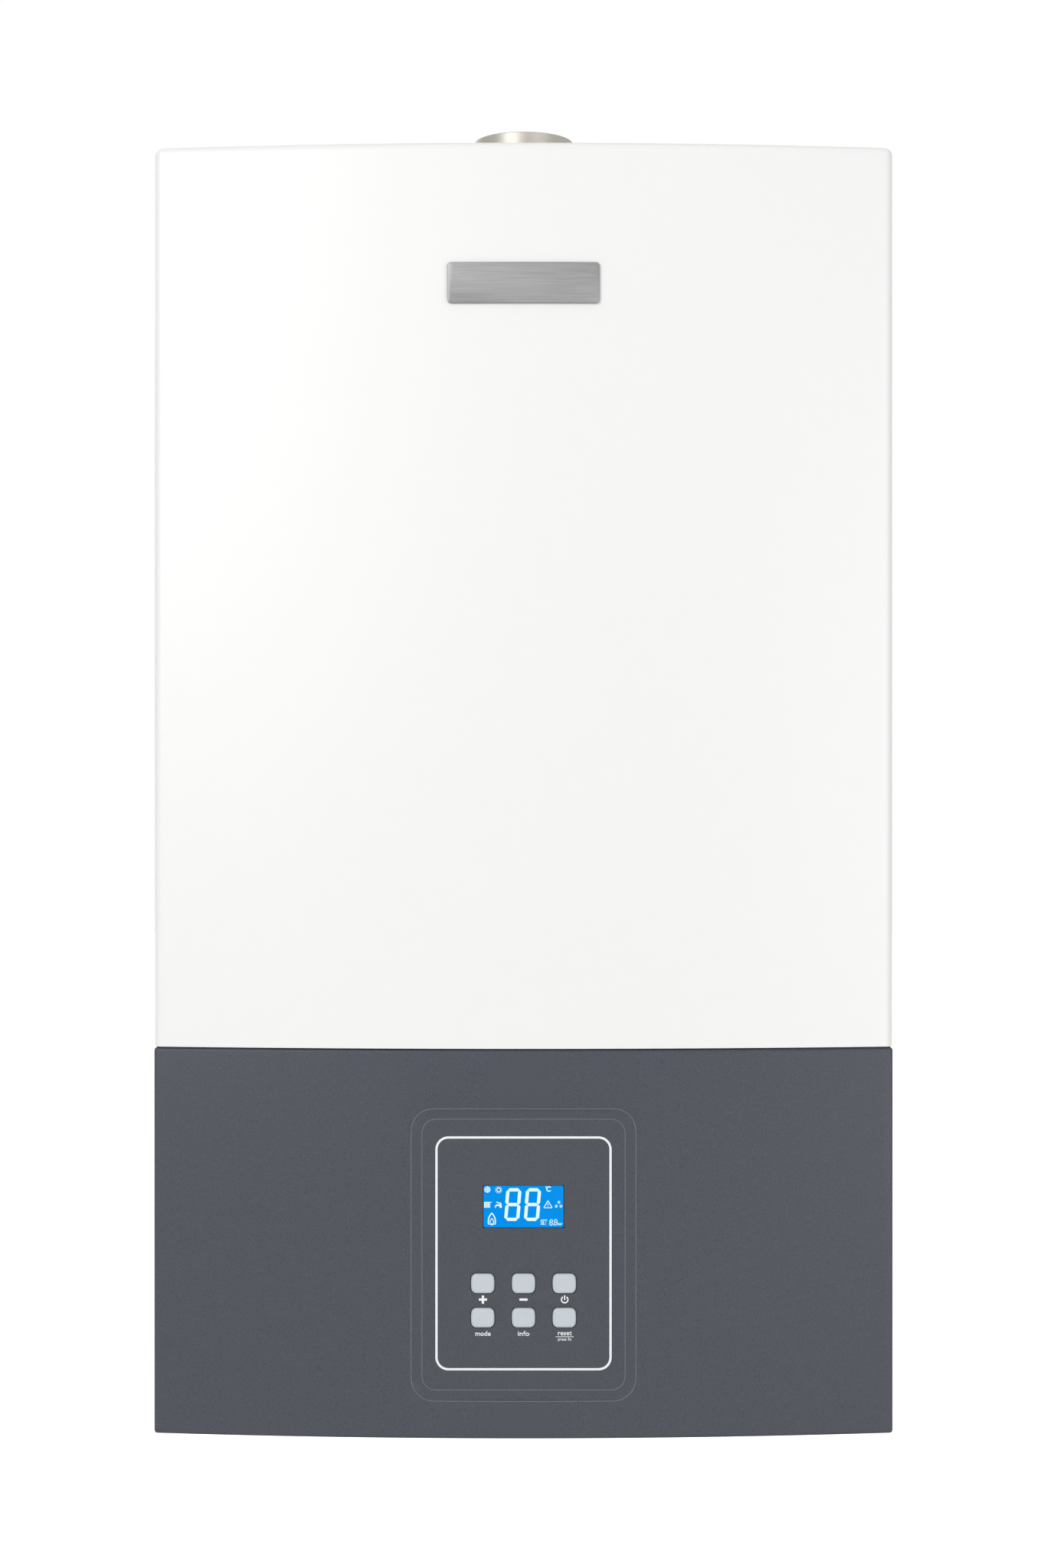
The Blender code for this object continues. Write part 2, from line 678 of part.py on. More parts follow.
def build_top_plate():
    front_y = RETURN_Y + FIT
    drop = SHEET + FIT
    profile = [(0.0, 0.0, TOP), (0.0, 0.0, TOP - SHEET), (0.0, front_y, TOP - SHEET), (0.0, front_y, TOP)]
    start = (-INNER_HALF_WIDTH, 0.0, 0.0)
    plate = add_part("top_plate", prism_mesh(profile, start, (INNER_HALF_WIDTH, 0.0, 0.0)),
                     WHITE_ENAMEL, (0.0, front_y / 2, TOP))
    lip = [
        (0.0, front_y + 2 * SHEET, TOP - SHEET / 2),
        (0.0, front_y + 2 * SHEET, TOP - SHEET - drop),
        (0.0, front_y - LIP_DEPTH, TOP - SHEET - drop),
        (0.0, front_y - LIP_DEPTH, TOP - drop),
        (0.0, front_y + SHEET, TOP - drop),
        (0.0, front_y + SHEET, TOP - SHEET / 2),
    ]
    fuse(plate, prism_mesh(lip, (-LIP_HALF_WIDTH, 0, 0), (LIP_HALF_WIDTH, 0, 0)))
    hole = FLUE_DIAMETER / 2 + 2 * FIT
    cut(plate, rod_mesh((0, FLUE_Y, TOP - 3 * SHEET), (0, FLUE_Y, TOP + 2 * SHEET), hole, 32))
    for quarter in range(4):
        slot = intake_slot(math.radians(45 + 90 * quarter))
        cut(plate, prism_mesh(slot, (0, 0, TOP - 3 * SHEET), (0, 0, TOP + 2 * SHEET)))


def intake_slot(middle):
    """A curved slot of the air intake, in the XY plane about the flue's axis."""
    half = math.radians(INTAKE_SLOT_ANGLE / 2)
    steps = 5
    angles = [middle - half + 2 * half * step / steps for step in range(steps + 1)]
    outer = [on_flue_circle(INTAKE_SLOT_OUTER, angle) for angle in angles]
    inner = [on_flue_circle(INTAKE_SLOT_INNER, angle) for angle in reversed(angles)]
    return outer + inner


def on_flue_circle(radius, angle):
    return (radius * math.cos(angle), FLUE_Y + radius * math.sin(angle), 0.0)


# Front cover: one pressed sheet with bowed front and short returns, hung on the top lip


def build_front_cover():
    outline = bowed_outline(0.0, RETURN_Y)
    shell = prism_mesh(outline, (0, 0, SEAM_Z), (0, 0, TOP))
    rear = [face for face in shell.faces if face.calc_center_median().y > RETURN_Y - SHEET]
    below = [face for face in shell.faces if face.normal.z < -0.9]
    bmesh.ops.delete(shell, geom=rear + below, context="FACES")
    top_rim = [
        edge for edge in shell.edges
        if not edge.is_boundary and all(v.co.z > TOP - 1e-6 for v in edge.verts)
    ]
    corners = [
        edge for edge in shell.edges
        if is_upright(edge) and abs(abs(edge.verts[0].co.x) - HALF_WIDTH) < 1e-6
        and edge.verts[0].co.y < RETURN_Y - SHEET
    ]
    bmesh.ops.bevel(shell, geom=top_rim + corners, offset=COVER_EDGE_RADIUS, segments=3, profile=0.5,
                    affect="EDGES")
    cover = add_part("front_cover", shell, WHITE_ENAMEL, (0.0, CORNER_Y, (SEAM_Z + TOP) / 2))
    wall = cover.modifiers.new("sheet", "SOLIDIFY")
    wall.thickness = SHEET
    wall.offset = -1.0
    inner = bowed_outline(COVER_FLANGE, CORNER_Y + COVER_FLANGE)
    outer = bowed_outline(SHEET / 2, CORNER_Y + COVER_FLANGE)
    flange = prism_mesh(outer[1:-1] + inner[-2:0:-1], (0, 0, SEAM_Z), (0, 0, SEAM_Z + SHEET))
    fuse(cover, flange)


def build_badge_plate():
    centre_z = TOP - BADGE_BELOW_TOP
    face = bowed_row(BADGE_WIDTH / 2, -FIT - BADGE_THICKNESS, BADGE_SEGMENTS)
    back = bowed_row(BADGE_WIDTH / 2, -FIT, BADGE_SEGMENTS)
    low = (0, 0, centre_z - BADGE_HEIGHT / 2)
    high = (0, 0, centre_z + BADGE_HEIGHT / 2)
    plate = prism_mesh(face + list(reversed(back)), low, high)
    bevel_mesh(plate, BADGE_CORNER, 3, lambda edge: abs(edge_direction(edge).y) > 0.9)
    add_part("badge_plate", plate, ALUMINIUM, (0.0, bow_y(0.0) - FIT, centre_z))


# Flue spigot and air collar on the top plate


def build_flue_connection():
    outer = FLUE_DIAMETER / 2
    bore = outer - FLUE_WALL
    ring = outer + FLUE_RING_WIDTH
    bead = outer + FLUE_BEAD_HEIGHT
    rim = FLUE_HEIGHT
    bead_top = rim - FLUE_BEAD_BELOW_RIM
    bead_foot = bead_top - FLUE_BEAD_WIDTH - 2 * FLUE_BEAD_SLOPE
    profile = [
        (outer, rim), (outer, bead_top), (bead, bead_top - FLUE_BEAD_SLOPE),
        (bead, bead_foot + FLUE_BEAD_SLOPE), (outer, bead_foot),
        (outer, FIT + AIR_FLANGE_THICKNESS), (ring, FIT + AIR_FLANGE_THICKNESS), (ring, FIT),
        (outer, FIT), (outer, -FLUE_DEPTH), (bore, -FLUE_DEPTH), (bore, rim),
    ]
    turned_part("flue_spigot", profile, ALUMINIUM, (0.0, FLUE_Y, TOP), steps=24)

    outer = AIR_DIAMETER / 2
    bore = outer - AIR_WALL
    flange = AIR_FLANGE_DIAMETER / 2
    profile = [
        (outer, AIR_HEIGHT), (outer, FIT + AIR_FLANGE_THICKNESS), (flange, FIT + AIR_FLANGE_THICKNESS),
        (flange, FIT), (bore, FIT), (bore, AIR_HEIGHT),
    ]
    turned_part("air_collar", profile, GALVANISED, (0.0, FLUE_Y, TOP), steps=28)


# Control panel: moulded front with a sunk field, on two hinge pins at its lower edge


def build_control_fascia():
    outline = bowed_outline(0.0, RETURN_Y)
    block = prism_mesh(outline, (0, 0, BOTTOM), (0, 0, PANEL_TOP))

    def front_edge(edge):
        middle = (edge.verts[0].co + edge.verts[1].co) / 2
        if is_upright(edge):
            return abs(abs(middle.x) - HALF_WIDTH) < 1e-6 and middle.y < RETURN_Y - SHEET
        return abs(middle.y - RETURN_Y) > 1e-6

    bevel_mesh(block, PANEL_EDGE_RADIUS, 2, front_edge)
    fascia = add_part("control_fascia", block, DARK_PLASTIC, (0.0, PIVOT_Y, PIVOT_Z))
    hollow = bowed_outline(PANEL_WALL, RETURN_Y + CUT_MARGIN)
    cut(fascia, prism_mesh(hollow, (0, 0, BOTTOM + PANEL_WALL), (0, 0, PANEL_TOP - PANEL_WALL)))

    # The top return is short, and the bottom one ends at the pivot
    top_rear = CORNER_Y + PANEL_TOP_RETURN
    inner = HALF_WIDTH - PANEL_WALL
    behind_lip = (-inner, top_rear, PANEL_TOP - 2 * PANEL_WALL)
    cut(fascia, box_mesh(behind_lip, (inner, 0.0, PANEL_TOP + CUT_MARGIN)))
    cut(fascia, box_mesh((-inner, PIVOT_Y, BOTTOM - CUT_MARGIN), (inner, 0.0, BOTTOM + 2 * PANEL_WALL)))

    # The lower rear corners of the side returns are round about the pivot
    past = HALF_WIDTH + CUT_MARGIN
    corner = box_mesh((-past, PIVOT_Y, BOTTOM - CUT_MARGIN), (past, RETURN_Y + SHEET, PIVOT_Z))
    drum = rod_mesh((-past - CUT_MARGIN, PIVOT_Y, PIVOT_Z), (past + CUT_MARGIN, PIVOT_Y, PIVOT_Z),
                    PANEL_PIVOT_INSET, 32)
    rounder = add_object("fascia_corner_rounder", corner, CUTTERS, fascia.location)
    cut(rounder, drum)
    rounder.hide_render = True
    rounder.display_type = "WIRE"
    step = fascia.modifiers.new("round_corner", "BOOLEAN")
    step.operation = "DIFFERENCE"
    step.object = rounder

    # The flat pad behind the control field, posts for the board and towers for the box
    pad_half = FIELD_WIDTH / 2 + FIELD_PAD_MARGIN
    fuse(fascia, box_mesh((-pad_half, bow_y(pad_half, PANEL_WALL / 2), FIELD_Z - FIELD_HEIGHT / 2),
                          (pad_half, PAD_Y, FIELD_Z + FIELD_HEIGHT / 2)))
    for x, z in board_post_places():
        fuse(fascia, rod_mesh((x, PAD_Y - SHEET, z), (x, BOARD_Y - FIT, z), BOARD_POST_RADIUS, 8))
    for x, z in box_screw_places():
        front = bow_y(x, PANEL_WALL / 2)
        fuse(fascia, rod_mesh((x, front, z), (x, BOX_FRONT_Y - FIT, z), BOX_SCREW_RADIUS, 10))

    # The sunk field, with its sloping rim
    slope = FIELD_SLOPE
    rim = rounded_rectangle(FIELD_WIDTH, FIELD_HEIGHT, FIELD_CORNER, 0.0, FIELD_Z)
    floor_width = FIELD_WIDTH - 2 * slope
    floor_height = FIELD_HEIGHT - 2 * slope
    floor = rounded_rectangle(floor_width, floor_height, FIELD_FLOOR_CORNER, 0.0, FIELD_Z)
    rim_y = bow_y(FIELD_WIDTH / 2)
    cut(fascia, loft_mesh([(rim, -CASE_DEPTH - CUT_MARGIN), (rim, rim_y), (floor, FIELD_Y)]))

    # Openings for the display window and the buttons
    half_w = WINDOW_WIDTH / 2 + FIT
    half_h = WINDOW_HEIGHT / 2 + FIT
    window_z = BOTTOM + WINDOW_CENTRE_HEIGHT
    before = FIELD_Y - CUT_MARGIN
    behind = PAD_Y + CUT_MARGIN
    cut(fascia, box_mesh((-half_w, before, window_z - half_h), (half_w, behind, window_z + half_h)))
    for x, z in button_places():
        hole = barrel_outline(BUTTON_WIDTH + 2 * FIT, BUTTON_HEIGHT + 2 * FIT, x, z)
        cut(fascia, prism_mesh(hole, (0, before, 0), (0, behind, 0)))

    # Notches in the bottom return for the hinge ears
    for side in (-1, 1):
        near = side * (BOX_HALF_WIDTH - HINGE_LUG - HINGE_NOTCH_GAP)
        far = near + side * HINGE_NOTCH_WIDTH
        cut(fascia, box_mesh((min(near, far), PIVOT_Y - HINGE_NOTCH_DEPTH, BOTTOM - CUT_MARGIN),
                             (max(near, far), PIVOT_Y + CUT_MARGIN, BOTTOM + 2 * PANEL_WALL)))


def loft_mesh(sections):
    """Joins outlines of equal length at their own y with side faces, and caps both ends."""
    mesh = bmesh.new()
    rings = []
    for outline, y in sections:
        rings.append([mesh.verts.new((x, y, z)) for x, _, z in outline])
    for first, second in zip(rings, rings[1:]):
        count = len(first)
        for index in range(count):
            following = (index + 1) % count
            mesh.faces.new((first[index], first[following], second[following], second[index]))
    mesh.faces.new(rings[0])
    mesh.faces.new(list(reversed(rings[-1])))
    bmesh.ops.recalc_face_normals(mesh, faces=mesh.faces)
    return mesh


def board_post_places():
    x = BOARD_WIDTH / 2 - BOARD_POST_INSET
    z = BOARD_HEIGHT / 2 - BOARD_POST_INSET
    return [(side * x, FIELD_Z + up * z) for side in (-1, 1) for up in (-1, 1)]


def box_screw_places():
    low = BOTTOM + BOX_ABOVE_BOTTOM + BOX_SCREW_MARGIN
    high = SEAM_Z - BOX_BELOW_SEAM - BOX_SCREW_MARGIN
    return [(side * BOX_SCREW_X, z) for side in (-1, 1) for z in (low, high)]


def button_places():
    low = BOTTOM + BUTTON_LOW_ROW
    return [(column * BUTTON_PITCH_X, low + row * BUTTON_PITCH_Z) for row in (1, 0) for column in (-1, 0, 1)]


def barrel_outline(width, height, centre_x, centre_z):
    """A button's face: flat top and bottom, sides that swell, and rounded corners."""
    base = rounded_rectangle(width - 2 * BUTTON_BULGE, height, BUTTON_CORNER, 0.0, 0.0, 2)
    points = []
    for x, _, z in base:
        swell = BUTTON_BULGE * (1 - (2 * z / height) ** 2)
        points.append((centre_x + x + math.copysign(swell, x), 0.0, centre_z + z))
    return points


def build_display_window():
    centre_z = BOTTOM + WINDOW_CENTRE_HEIGHT
    mesh = box_mesh((-WINDOW_WIDTH / 2, FIELD_Y, centre_z - WINDOW_HEIGHT / 2),
                    (WINDOW_WIDTH / 2, FIELD_Y + WINDOW_THICKNESS, centre_z + WINDOW_HEIGHT / 2))
    add_part("display_window", mesh, DISPLAY_GLASS, (0.0, FIELD_Y, centre_z))


def build_circuit_board():
    low_z = FIELD_Z - BOARD_HEIGHT / 2
    high_z = FIELD_Z + BOARD_HEIGHT / 2
    mesh = box_mesh((-BOARD_WIDTH / 2, BOARD_Y, low_z), (BOARD_WIDTH / 2, BOARD_Y + BOARD_THICKNESS, high_z))
    board = add_part("control_board", mesh, BOARD_GREEN, (0.0, BOARD_Y, FIELD_Z))
    window_z = BOTTOM + WINDOW_CENTRE_HEIGHT
    module_front = FIELD_Y + WINDOW_THICKNESS + FIT
    fuse(board, box_mesh((-WINDOW_WIDTH / 2, module_front, window_z - WINDOW_HEIGHT / 2),
                         (WINDOW_WIDTH / 2, PAD_Y + BOARD_THICKNESS, window_z + WINDOW_HEIGHT / 2)))
    fuse(board, box_mesh((-DISPLAY_WIDTH / 2, PAD_Y + FIT, window_z - DISPLAY_HEIGHT / 2),
                         (DISPLAY_WIDTH / 2, BOARD_Y + BOARD_THICKNESS / 2, window_z + DISPLAY_HEIGHT / 2)))


def build_buttons():
    front = FIELD_Y - BUTTON_PROUD
    for number, (x, z) in enumerate(button_places(), 1):
        face = barrel_outline(BUTTON_WIDTH, BUTTON_HEIGHT, x, z)
        cap = prism_mesh(face, (0, front, 0), (0, PAD_Y + 2 * FIT, 0))
        bevel_mesh(cap, BUTTON_RIM, 1, lambda edge: all(v.co.y < front + 1e-6 for v in edge.verts))
        button = add_part("button_" + str(number), cap, BUTTON_PLASTIC, (x, front, z))
        collar_front = PAD_Y + FIT
        margin = 2 * BUTTON_COLLAR_MARGIN
        collar = barrel_outline(BUTTON_WIDTH + margin, BUTTON_HEIGHT + margin, x, z)
        fuse(button, prism_mesh(collar, (0, collar_front, 0), (0, collar_front + BUTTON_COLLAR, 0)))
        stem_end = BOARD_Y - BUTTON_TRAVEL - FIT
        stem_start = collar_front + BUTTON_COLLAR / 2
        fuse(button, rod_mesh((x, stem_start, z), (x, stem_end, z), BUTTON_STEM_RADIUS, 8))


def build_control_box():
    front = BOX_FRONT_Y
    rear = front + BOX_DEPTH
    low_z = BOTTOM + BOX_ABOVE_BOTTOM
    high_z = SEAM_Z - BOX_BELOW_SEAM
    block = box_mesh((-BOX_HALF_WIDTH, front, low_z), (BOX_HALF_WIDTH, rear, high_z))
    bevel_mesh(block, BOX_CORNER, 2, lambda edge: all(v.co.y > rear - 1e-6 for v in edge.verts))
    box = add_part("control_box", block, BLACK_PLASTIC, (0.0, PIVOT_Y, PIVOT_Z))
    inner = BOX_HALF_WIDTH - BOX_WALL
    inside_low = (-inner, front - CUT_MARGIN, low_z + BOX_WALL)
    cut(box, box_mesh(inside_low, (inner, rear - BOX_WALL, high_z - BOX_WALL)))
    for x, z in box_screw_places():
        fuse(box, rod_mesh((x, front, z), (x, rear - BOX_WALL / 2, z), BOX_SCREW_RADIUS, 10))
    for side in (-1, 1):
        outer = side * BOX_HALF_WIDTH
        inside = side * (BOX_HALF_WIDTH - HINGE_LUG)
        fuse(box, box_mesh((min(outer, inside), PIVOT_Y - HINGE_EYE_RADIUS, PIVOT_Z),
                           (max(outer, inside), PIVOT_Y + HINGE_EYE_RADIUS, low_z + 2 * BOX_WALL)))
        fuse(box, rod_mesh((inside, PIVOT_Y, PIVOT_Z), (outer, PIVOT_Y, PIVOT_Z), HINGE_EYE_RADIUS, 24))
        start = (inside - side * CUT_MARGIN, PIVOT_Y, PIVOT_Z)
        end = (outer + side * CUT_MARGIN, PIVOT_Y, PIVOT_Z)
        cut(box, rod_mesh(start, end, HINGE_PIN_RADIUS + FIT, 12))


def build_hinge_brackets():
    for name, side in (("hinge_bracket_left", -1), ("hinge_bracket_right", 1)):
        ear_in = side * (BOX_HALF_WIDTH + HINGE_SIDE_GAP)
        ear_out = ear_in + side * HINGE_EAR
        base_out = ear_in + side * HINGE_BASE_WIDTH
        base_front = RETURN_Y + HINGE_BASE_SETBACK
        base_rear = base_front + HINGE_BASE_DEPTH
        base = box_mesh((min(ear_in, base_out), base_front, FLOOR_Z),
                        (max(ear_in, base_out), base_rear, FLOOR_Z + HINGE_BASE_THICKNESS))
        bracket = add_part(name, base, GALVANISED, (ear_in, PIVOT_Y, PIVOT_Z))
        fuse(bracket, box_mesh((min(ear_in, ear_out), PIVOT_Y, FLOOR_Z),
                               (max(ear_in, ear_out), base_rear, PIVOT_Z + HINGE_EYE_RADIUS)))
        eye = PIVOT_Z - FLOOR_Z
        fuse(bracket, rod_mesh((ear_in, PIVOT_Y, PIVOT_Z), (ear_out, PIVOT_Y, PIVOT_Z), eye, 24))
        pin_start = (ear_out - side * HINGE_EAR / 2, PIVOT_Y, PIVOT_Z)
        pin_end = (side * (BOX_HALF_WIDTH - HINGE_LUG - HINGE_PIN_OVERHANG), PIVOT_Y, PIVOT_Z)
        fuse(bracket, rod_mesh(pin_start, pin_end, HINGE_PIN_RADIUS, 12))


# Connections through the floor of the casing


def nipple_places():
    """Name, x and thread radius of each connection, from the left."""
    return [
        ("heating_flow_nipple", -2 * NIPPLE_PITCH, LARGE_THREAD_RADIUS),
        ("hot_water_nipple", -NIPPLE_PITCH, SMALL_THREAD_RADIUS),
        ("gas_nipple", 0.0, LARGE_THREAD_RADIUS),
        ("cold_water_nipple", NIPPLE_PITCH, SMALL_THREAD_RADIUS),
        ("heating_return_nipple", 2 * NIPPLE_PITCH, LARGE_THREAD_RADIUS),
    ]


def build_bottom_plate():
    front_y = PIVOT_Y + PANEL_PIVOT_INSET + FIT
    mesh = box_mesh((-INNER_HALF_WIDTH, front_y, BOTTOM), (INNER_HALF_WIDTH, 0.0, BOTTOM + SHEET))
    plate = add_part("bottom_plate", mesh, GALVANISED, (0.0, front_y / 2, BOTTOM))
    holes = [(x, NIPPLE_Y, radius + FIT) for _, x, radius in nipple_places()]
    holes += [(side * TAP_X, NIPPLE_Y, TAP_STEM_RADIUS + FIT) for side in (-1, 1)]
    holes.append((GLAND_X, GLAND_Y, GLAND_THREAD_RADIUS + FIT))
    for x, y, radius in holes:
        cut(plate, rod_mesh((x, y, BOTTOM - CUT_MARGIN), (x, y, BOTTOM + CUT_MARGIN), radius, 16))


def build_nipples():
    top = BLOCK_LOW - FIT - BOTTOM
    foot = -NIPPLE_BELOW
    for name, x, thread in nipple_places():
        bore = thread - NIPPLE_WALL
        nut = thread + NIPPLE_NUT_REACH
        profile = [
            (nut, top), (nut, top - NIPPLE_NUT), (thread, top - NIPPLE_NUT),
            (thread, foot + NIPPLE_CHAMFER), (thread - NIPPLE_CHAMFER, foot), (bore, foot), (bore, top),
        ]
        turned_part(name, profile, BRASS, (x, NIPPLE_Y, BOTTOM), steps=16)


def build_cable_gland():
    thread = GLAND_THREAD_RADIUS
    profile = [
        (GLAND_BORE_RADIUS, GLAND_ABOVE), (thread, GLAND_ABOVE), (thread, -FIT), (GLAND_RADIUS, -FIT),
        (GLAND_RADIUS, -GLAND_NUT), (GLAND_RADIUS * GLAND_TAPER, -GLAND_BELOW),
        (GLAND_BORE_RADIUS, -GLAND_BELOW),
    ]
    turned_part("cable_gland", profile, BLACK_PLASTIC, (GLAND_X, GLAND_Y, BOTTOM), steps=16)


# Expansion vessel: two domed pressings with a rolled rim, and a nipple at its foot


def build_expansion_vessel():
    half = VESSEL_DEPTH / 2
    dome = VESSEL_RADIUS - VESSEL_RIM_REACH
    flat = dome - VESSEL_SHOULDER
    rim = VESSEL_RIM / 2
    angles = [math.radians(22.5 * step) for step in range(4)]
    rear = [(flat + VESSEL_SHOULDER * math.sin(angle), half * math.cos(angle)) for angle in angles]
    rear += [(dome, rim), (VESSEL_RADIUS, rim)]
    front = [(radius, -height) for radius, height in reversed(rear)]
    profile = [(0.0, half)] + rear + front + [(0.0, -half)]
    middle_y = -SHEET - FIT - half
    centre = (0.0, middle_y, VESSEL_Z)
    vessel = turned_part("expansion_vessel", profile, VESSEL_RED, centre, (0.0, 1.0, 0.0), 28)
    foot = VESSEL_Z - VESSEL_RADIUS
    nipple_root = (0, middle_y, foot + VESSEL_NIPPLE_ROOT)
    nipple_end = (0, middle_y, foot - VESSEL_NIPPLE_LENGTH)
    fuse(vessel, rod_mesh(nipple_root, nipple_end, VESSEL_NIPPLE_RADIUS, 12))


# Burner, chamber, exchanger and hood


def append_mesh(target, extra):
    data = bpy.data.meshes.new("temporary")
    extra.to_mesh(data)
    extra.free()
    target.from_mesh(data)
    bpy.data.meshes.remove(data)


def blade_places():
    return [(index - (BLADE_COUNT - 1) / 2) * BLADE_PITCH for index in range(BLADE_COUNT)]


def blade_outline(x):
    """A burner blade seen from the front: a wide foot, a shoulder, a narrow neck and a ridge."""
    wide = BLADE_WIDTH / 2
    neck = wide * BLADE_NECK
    shoulder = BURNER_LOW + BLADE_SHOULDER
    neck_foot = BURNER_LOW + BLADE_NECK_HEIGHT
    ridge = BURNER_TOP - BLADE_BELOW_RAIL
    right = [(wide, BURNER_LOW), (wide, shoulder), (neck, neck_foot), (neck, ridge - BLADE_RIDGE)]
    left = [(-across, z) for across, z in reversed(right)]
    return [(x + across, 0.0, z) for across, z in right + [(0.0, ridge)] + left]


def build_burner():
    half = STACK_HALF_WIDTH
    low = BURNER_TOP - RAIL_HEIGHT
    front_y = STACK_FRONT_Y
    rear_y = STACK_REAR_Y
    front = box_mesh((-half, front_y, low), (half, front_y + RAIL_THICKNESS, BURNER_TOP))
    burner = add_part("burner", front, STAINLESS, (0.0, TUBE_MIDDLE_Y, BURNER_LOW))
    fuse(burner, box_mesh((-half, rear_y - RAIL_THICKNESS, low), (half, rear_y, BURNER_TOP)))
    sunk = RAIL_THICKNESS / 2
    blades = bmesh.new()
    mouths = bmesh.new()
    for x in blade_places():
        append_mesh(blades, prism_mesh(blade_outline(x), (0, front_y + sunk, 0), (0, rear_y - sunk, 0)))
        mouth_start = (x, front_y - CUT_MARGIN, MANIFOLD_Z)
        mouth_end = (x, front_y + BLADE_MOUTH_DEPTH, MANIFOLD_Z)
        append_mesh(mouths, rod_mesh(mouth_start, mouth_end, BLADE_MOUTH_RADIUS, 8))
    fuse(burner, blades)
    cut(burner, mouths)


def build_combustion_chamber():
    half = STACK_HALF_WIDTH
    front = STACK_FRONT_Y
    rear = STACK_REAR_Y
    inner = half - CHAMBER_WALL
    lip = half - CHAMBER_FLANGE
    lip_rear = front + CHAMBER_WALL
    wall_front = rear - CHAMBER_WALL
    outline = [
        (-half, rear, 0), (half, rear, 0), (half, front, 0), (lip, front, 0),
        (lip, lip_rear, 0), (inner, lip_rear, 0), (inner, wall_front, 0), (-inner, wall_front, 0),
        (-inner, lip_rear, 0), (-lip, lip_rear, 0), (-lip, front, 0), (-half, front, 0),
    ]
    mesh = prism_mesh(outline, (0, 0, CHAMBER_LOW), (0, 0, CHAMBER_TOP))
    add_part("combustion_chamber", mesh, GALVANISED, (0.0, TUBE_MIDDLE_Y, CHAMBER_LOW))


def electrode_height():
    return CHAMBER_LOW + ELECTRODE_HEIGHT


def build_chamber_front():
    half = STACK_HALF_WIDTH
    back = STACK_FRONT_Y - FIT
    face = back - CHAMBER_FRONT_THICKNESS
    middle_z = (CHAMBER_LOW + CHAMBER_TOP) / 2
    plate = box_mesh((-half, face, CHAMBER_LOW), (half, back, CHAMBER_TOP))
    cover = add_part("chamber_front", plate, GALVANISED, (0.0, back, middle_z))
    rib_length = 2 * (half - CHAMBER_RIB_MARGIN)
    for z in (CHAMBER_LOW + CHAMBER_RIB_INSET, CHAMBER_TOP - CHAMBER_RIB_INSET):
        rib = rounded_rectangle(rib_length, CHAMBER_RIB_WIDTH, CHAMBER_RIB_WIDTH * 0.49, 0.0, z, 3)
        fuse(cover, prism_mesh(rib, (0, face - CHAMBER_RIB_DEPTH, 0), (0, (face + back) / 2, 0)))
    ahead = face - CUT_MARGIN
    behind = back + CUT_MARGIN
    cut(cover, rod_mesh((0, ahead, middle_z), (0, behind, middle_z), SIGHT_HOLE_RADIUS, 20))
    z = electrode_height()
    cut(cover, rod_mesh((ELECTRODE_X, ahead, z), (ELECTRODE_X, behind, z), ELECTRODE_RADIUS + FIT, 12))


def build_chamber_brackets():
    for name, side in (("chamber_bracket_left", -1), ("chamber_bracket_right", 1)):
        near = side * (STACK_HALF_WIDTH + FIT)
        far = side * INNER_HALF_WIDTH
        low = CHAMBER_LOW + CHAMBER_BRACKET_Z - CHAMBER_BRACKET_THICKNESS
        high = low + CHAMBER_BRACKET_THICKNESS
        foot = low - CHAMBER_BRACKET_FLANGE
        rear = STACK_REAR_Y - CHAMBER_BRACKET_INSET
        front = rear - CHAMBER_BRACKET_DEPTH
        shelf = box_mesh((min(near, far), front, low), (max(near, far), rear, high))
        bracket = add_part(name, shelf, GALVANISED, (far, rear, low))
        outer = far - side * CHAMBER_BRACKET_THICKNESS
        fuse(bracket, box_mesh((min(far, outer), front, foot), (max(far, outer), rear, high)))
        inner = near + side * CHAMBER_BRACKET_THICKNESS
        fuse(bracket, box_mesh((min(near, inner), front, foot), (max(near, inner), rear, high)))


def fin_outline(half):
    """Fins above and below a web, seen from the front."""
    pitch = 2 * half / FIN_COUNT
    web_low = EXCHANGER_Z - FIN_WEB / 2
    web_high = EXCHANGER_Z + FIN_WEB / 2
    above = []
    below = []
    for index in range(FIN_COUNT):
        x = -half + (index + 0.5) * pitch
        left = x - FIN_THICKNESS / 2
        right = x + FIN_THICKNESS / 2
        above += [(left, 0, web_high), (left, 0, EXCHANGER_TOP)]
        above += [(right, 0, EXCHANGER_TOP), (right, 0, web_high)]
        below += [(left, 0, web_low), (left, 0, EXCHANGER_LOW)]
        below += [(right, 0, EXCHANGER_LOW), (right, 0, web_low)]
    left_side = [(-half, 0, web_low), (-half, 0, web_high)]
    right_side = [(half, 0, web_high), (half, 0, web_low)]
    return left_side + above + right_side + list(reversed(below))


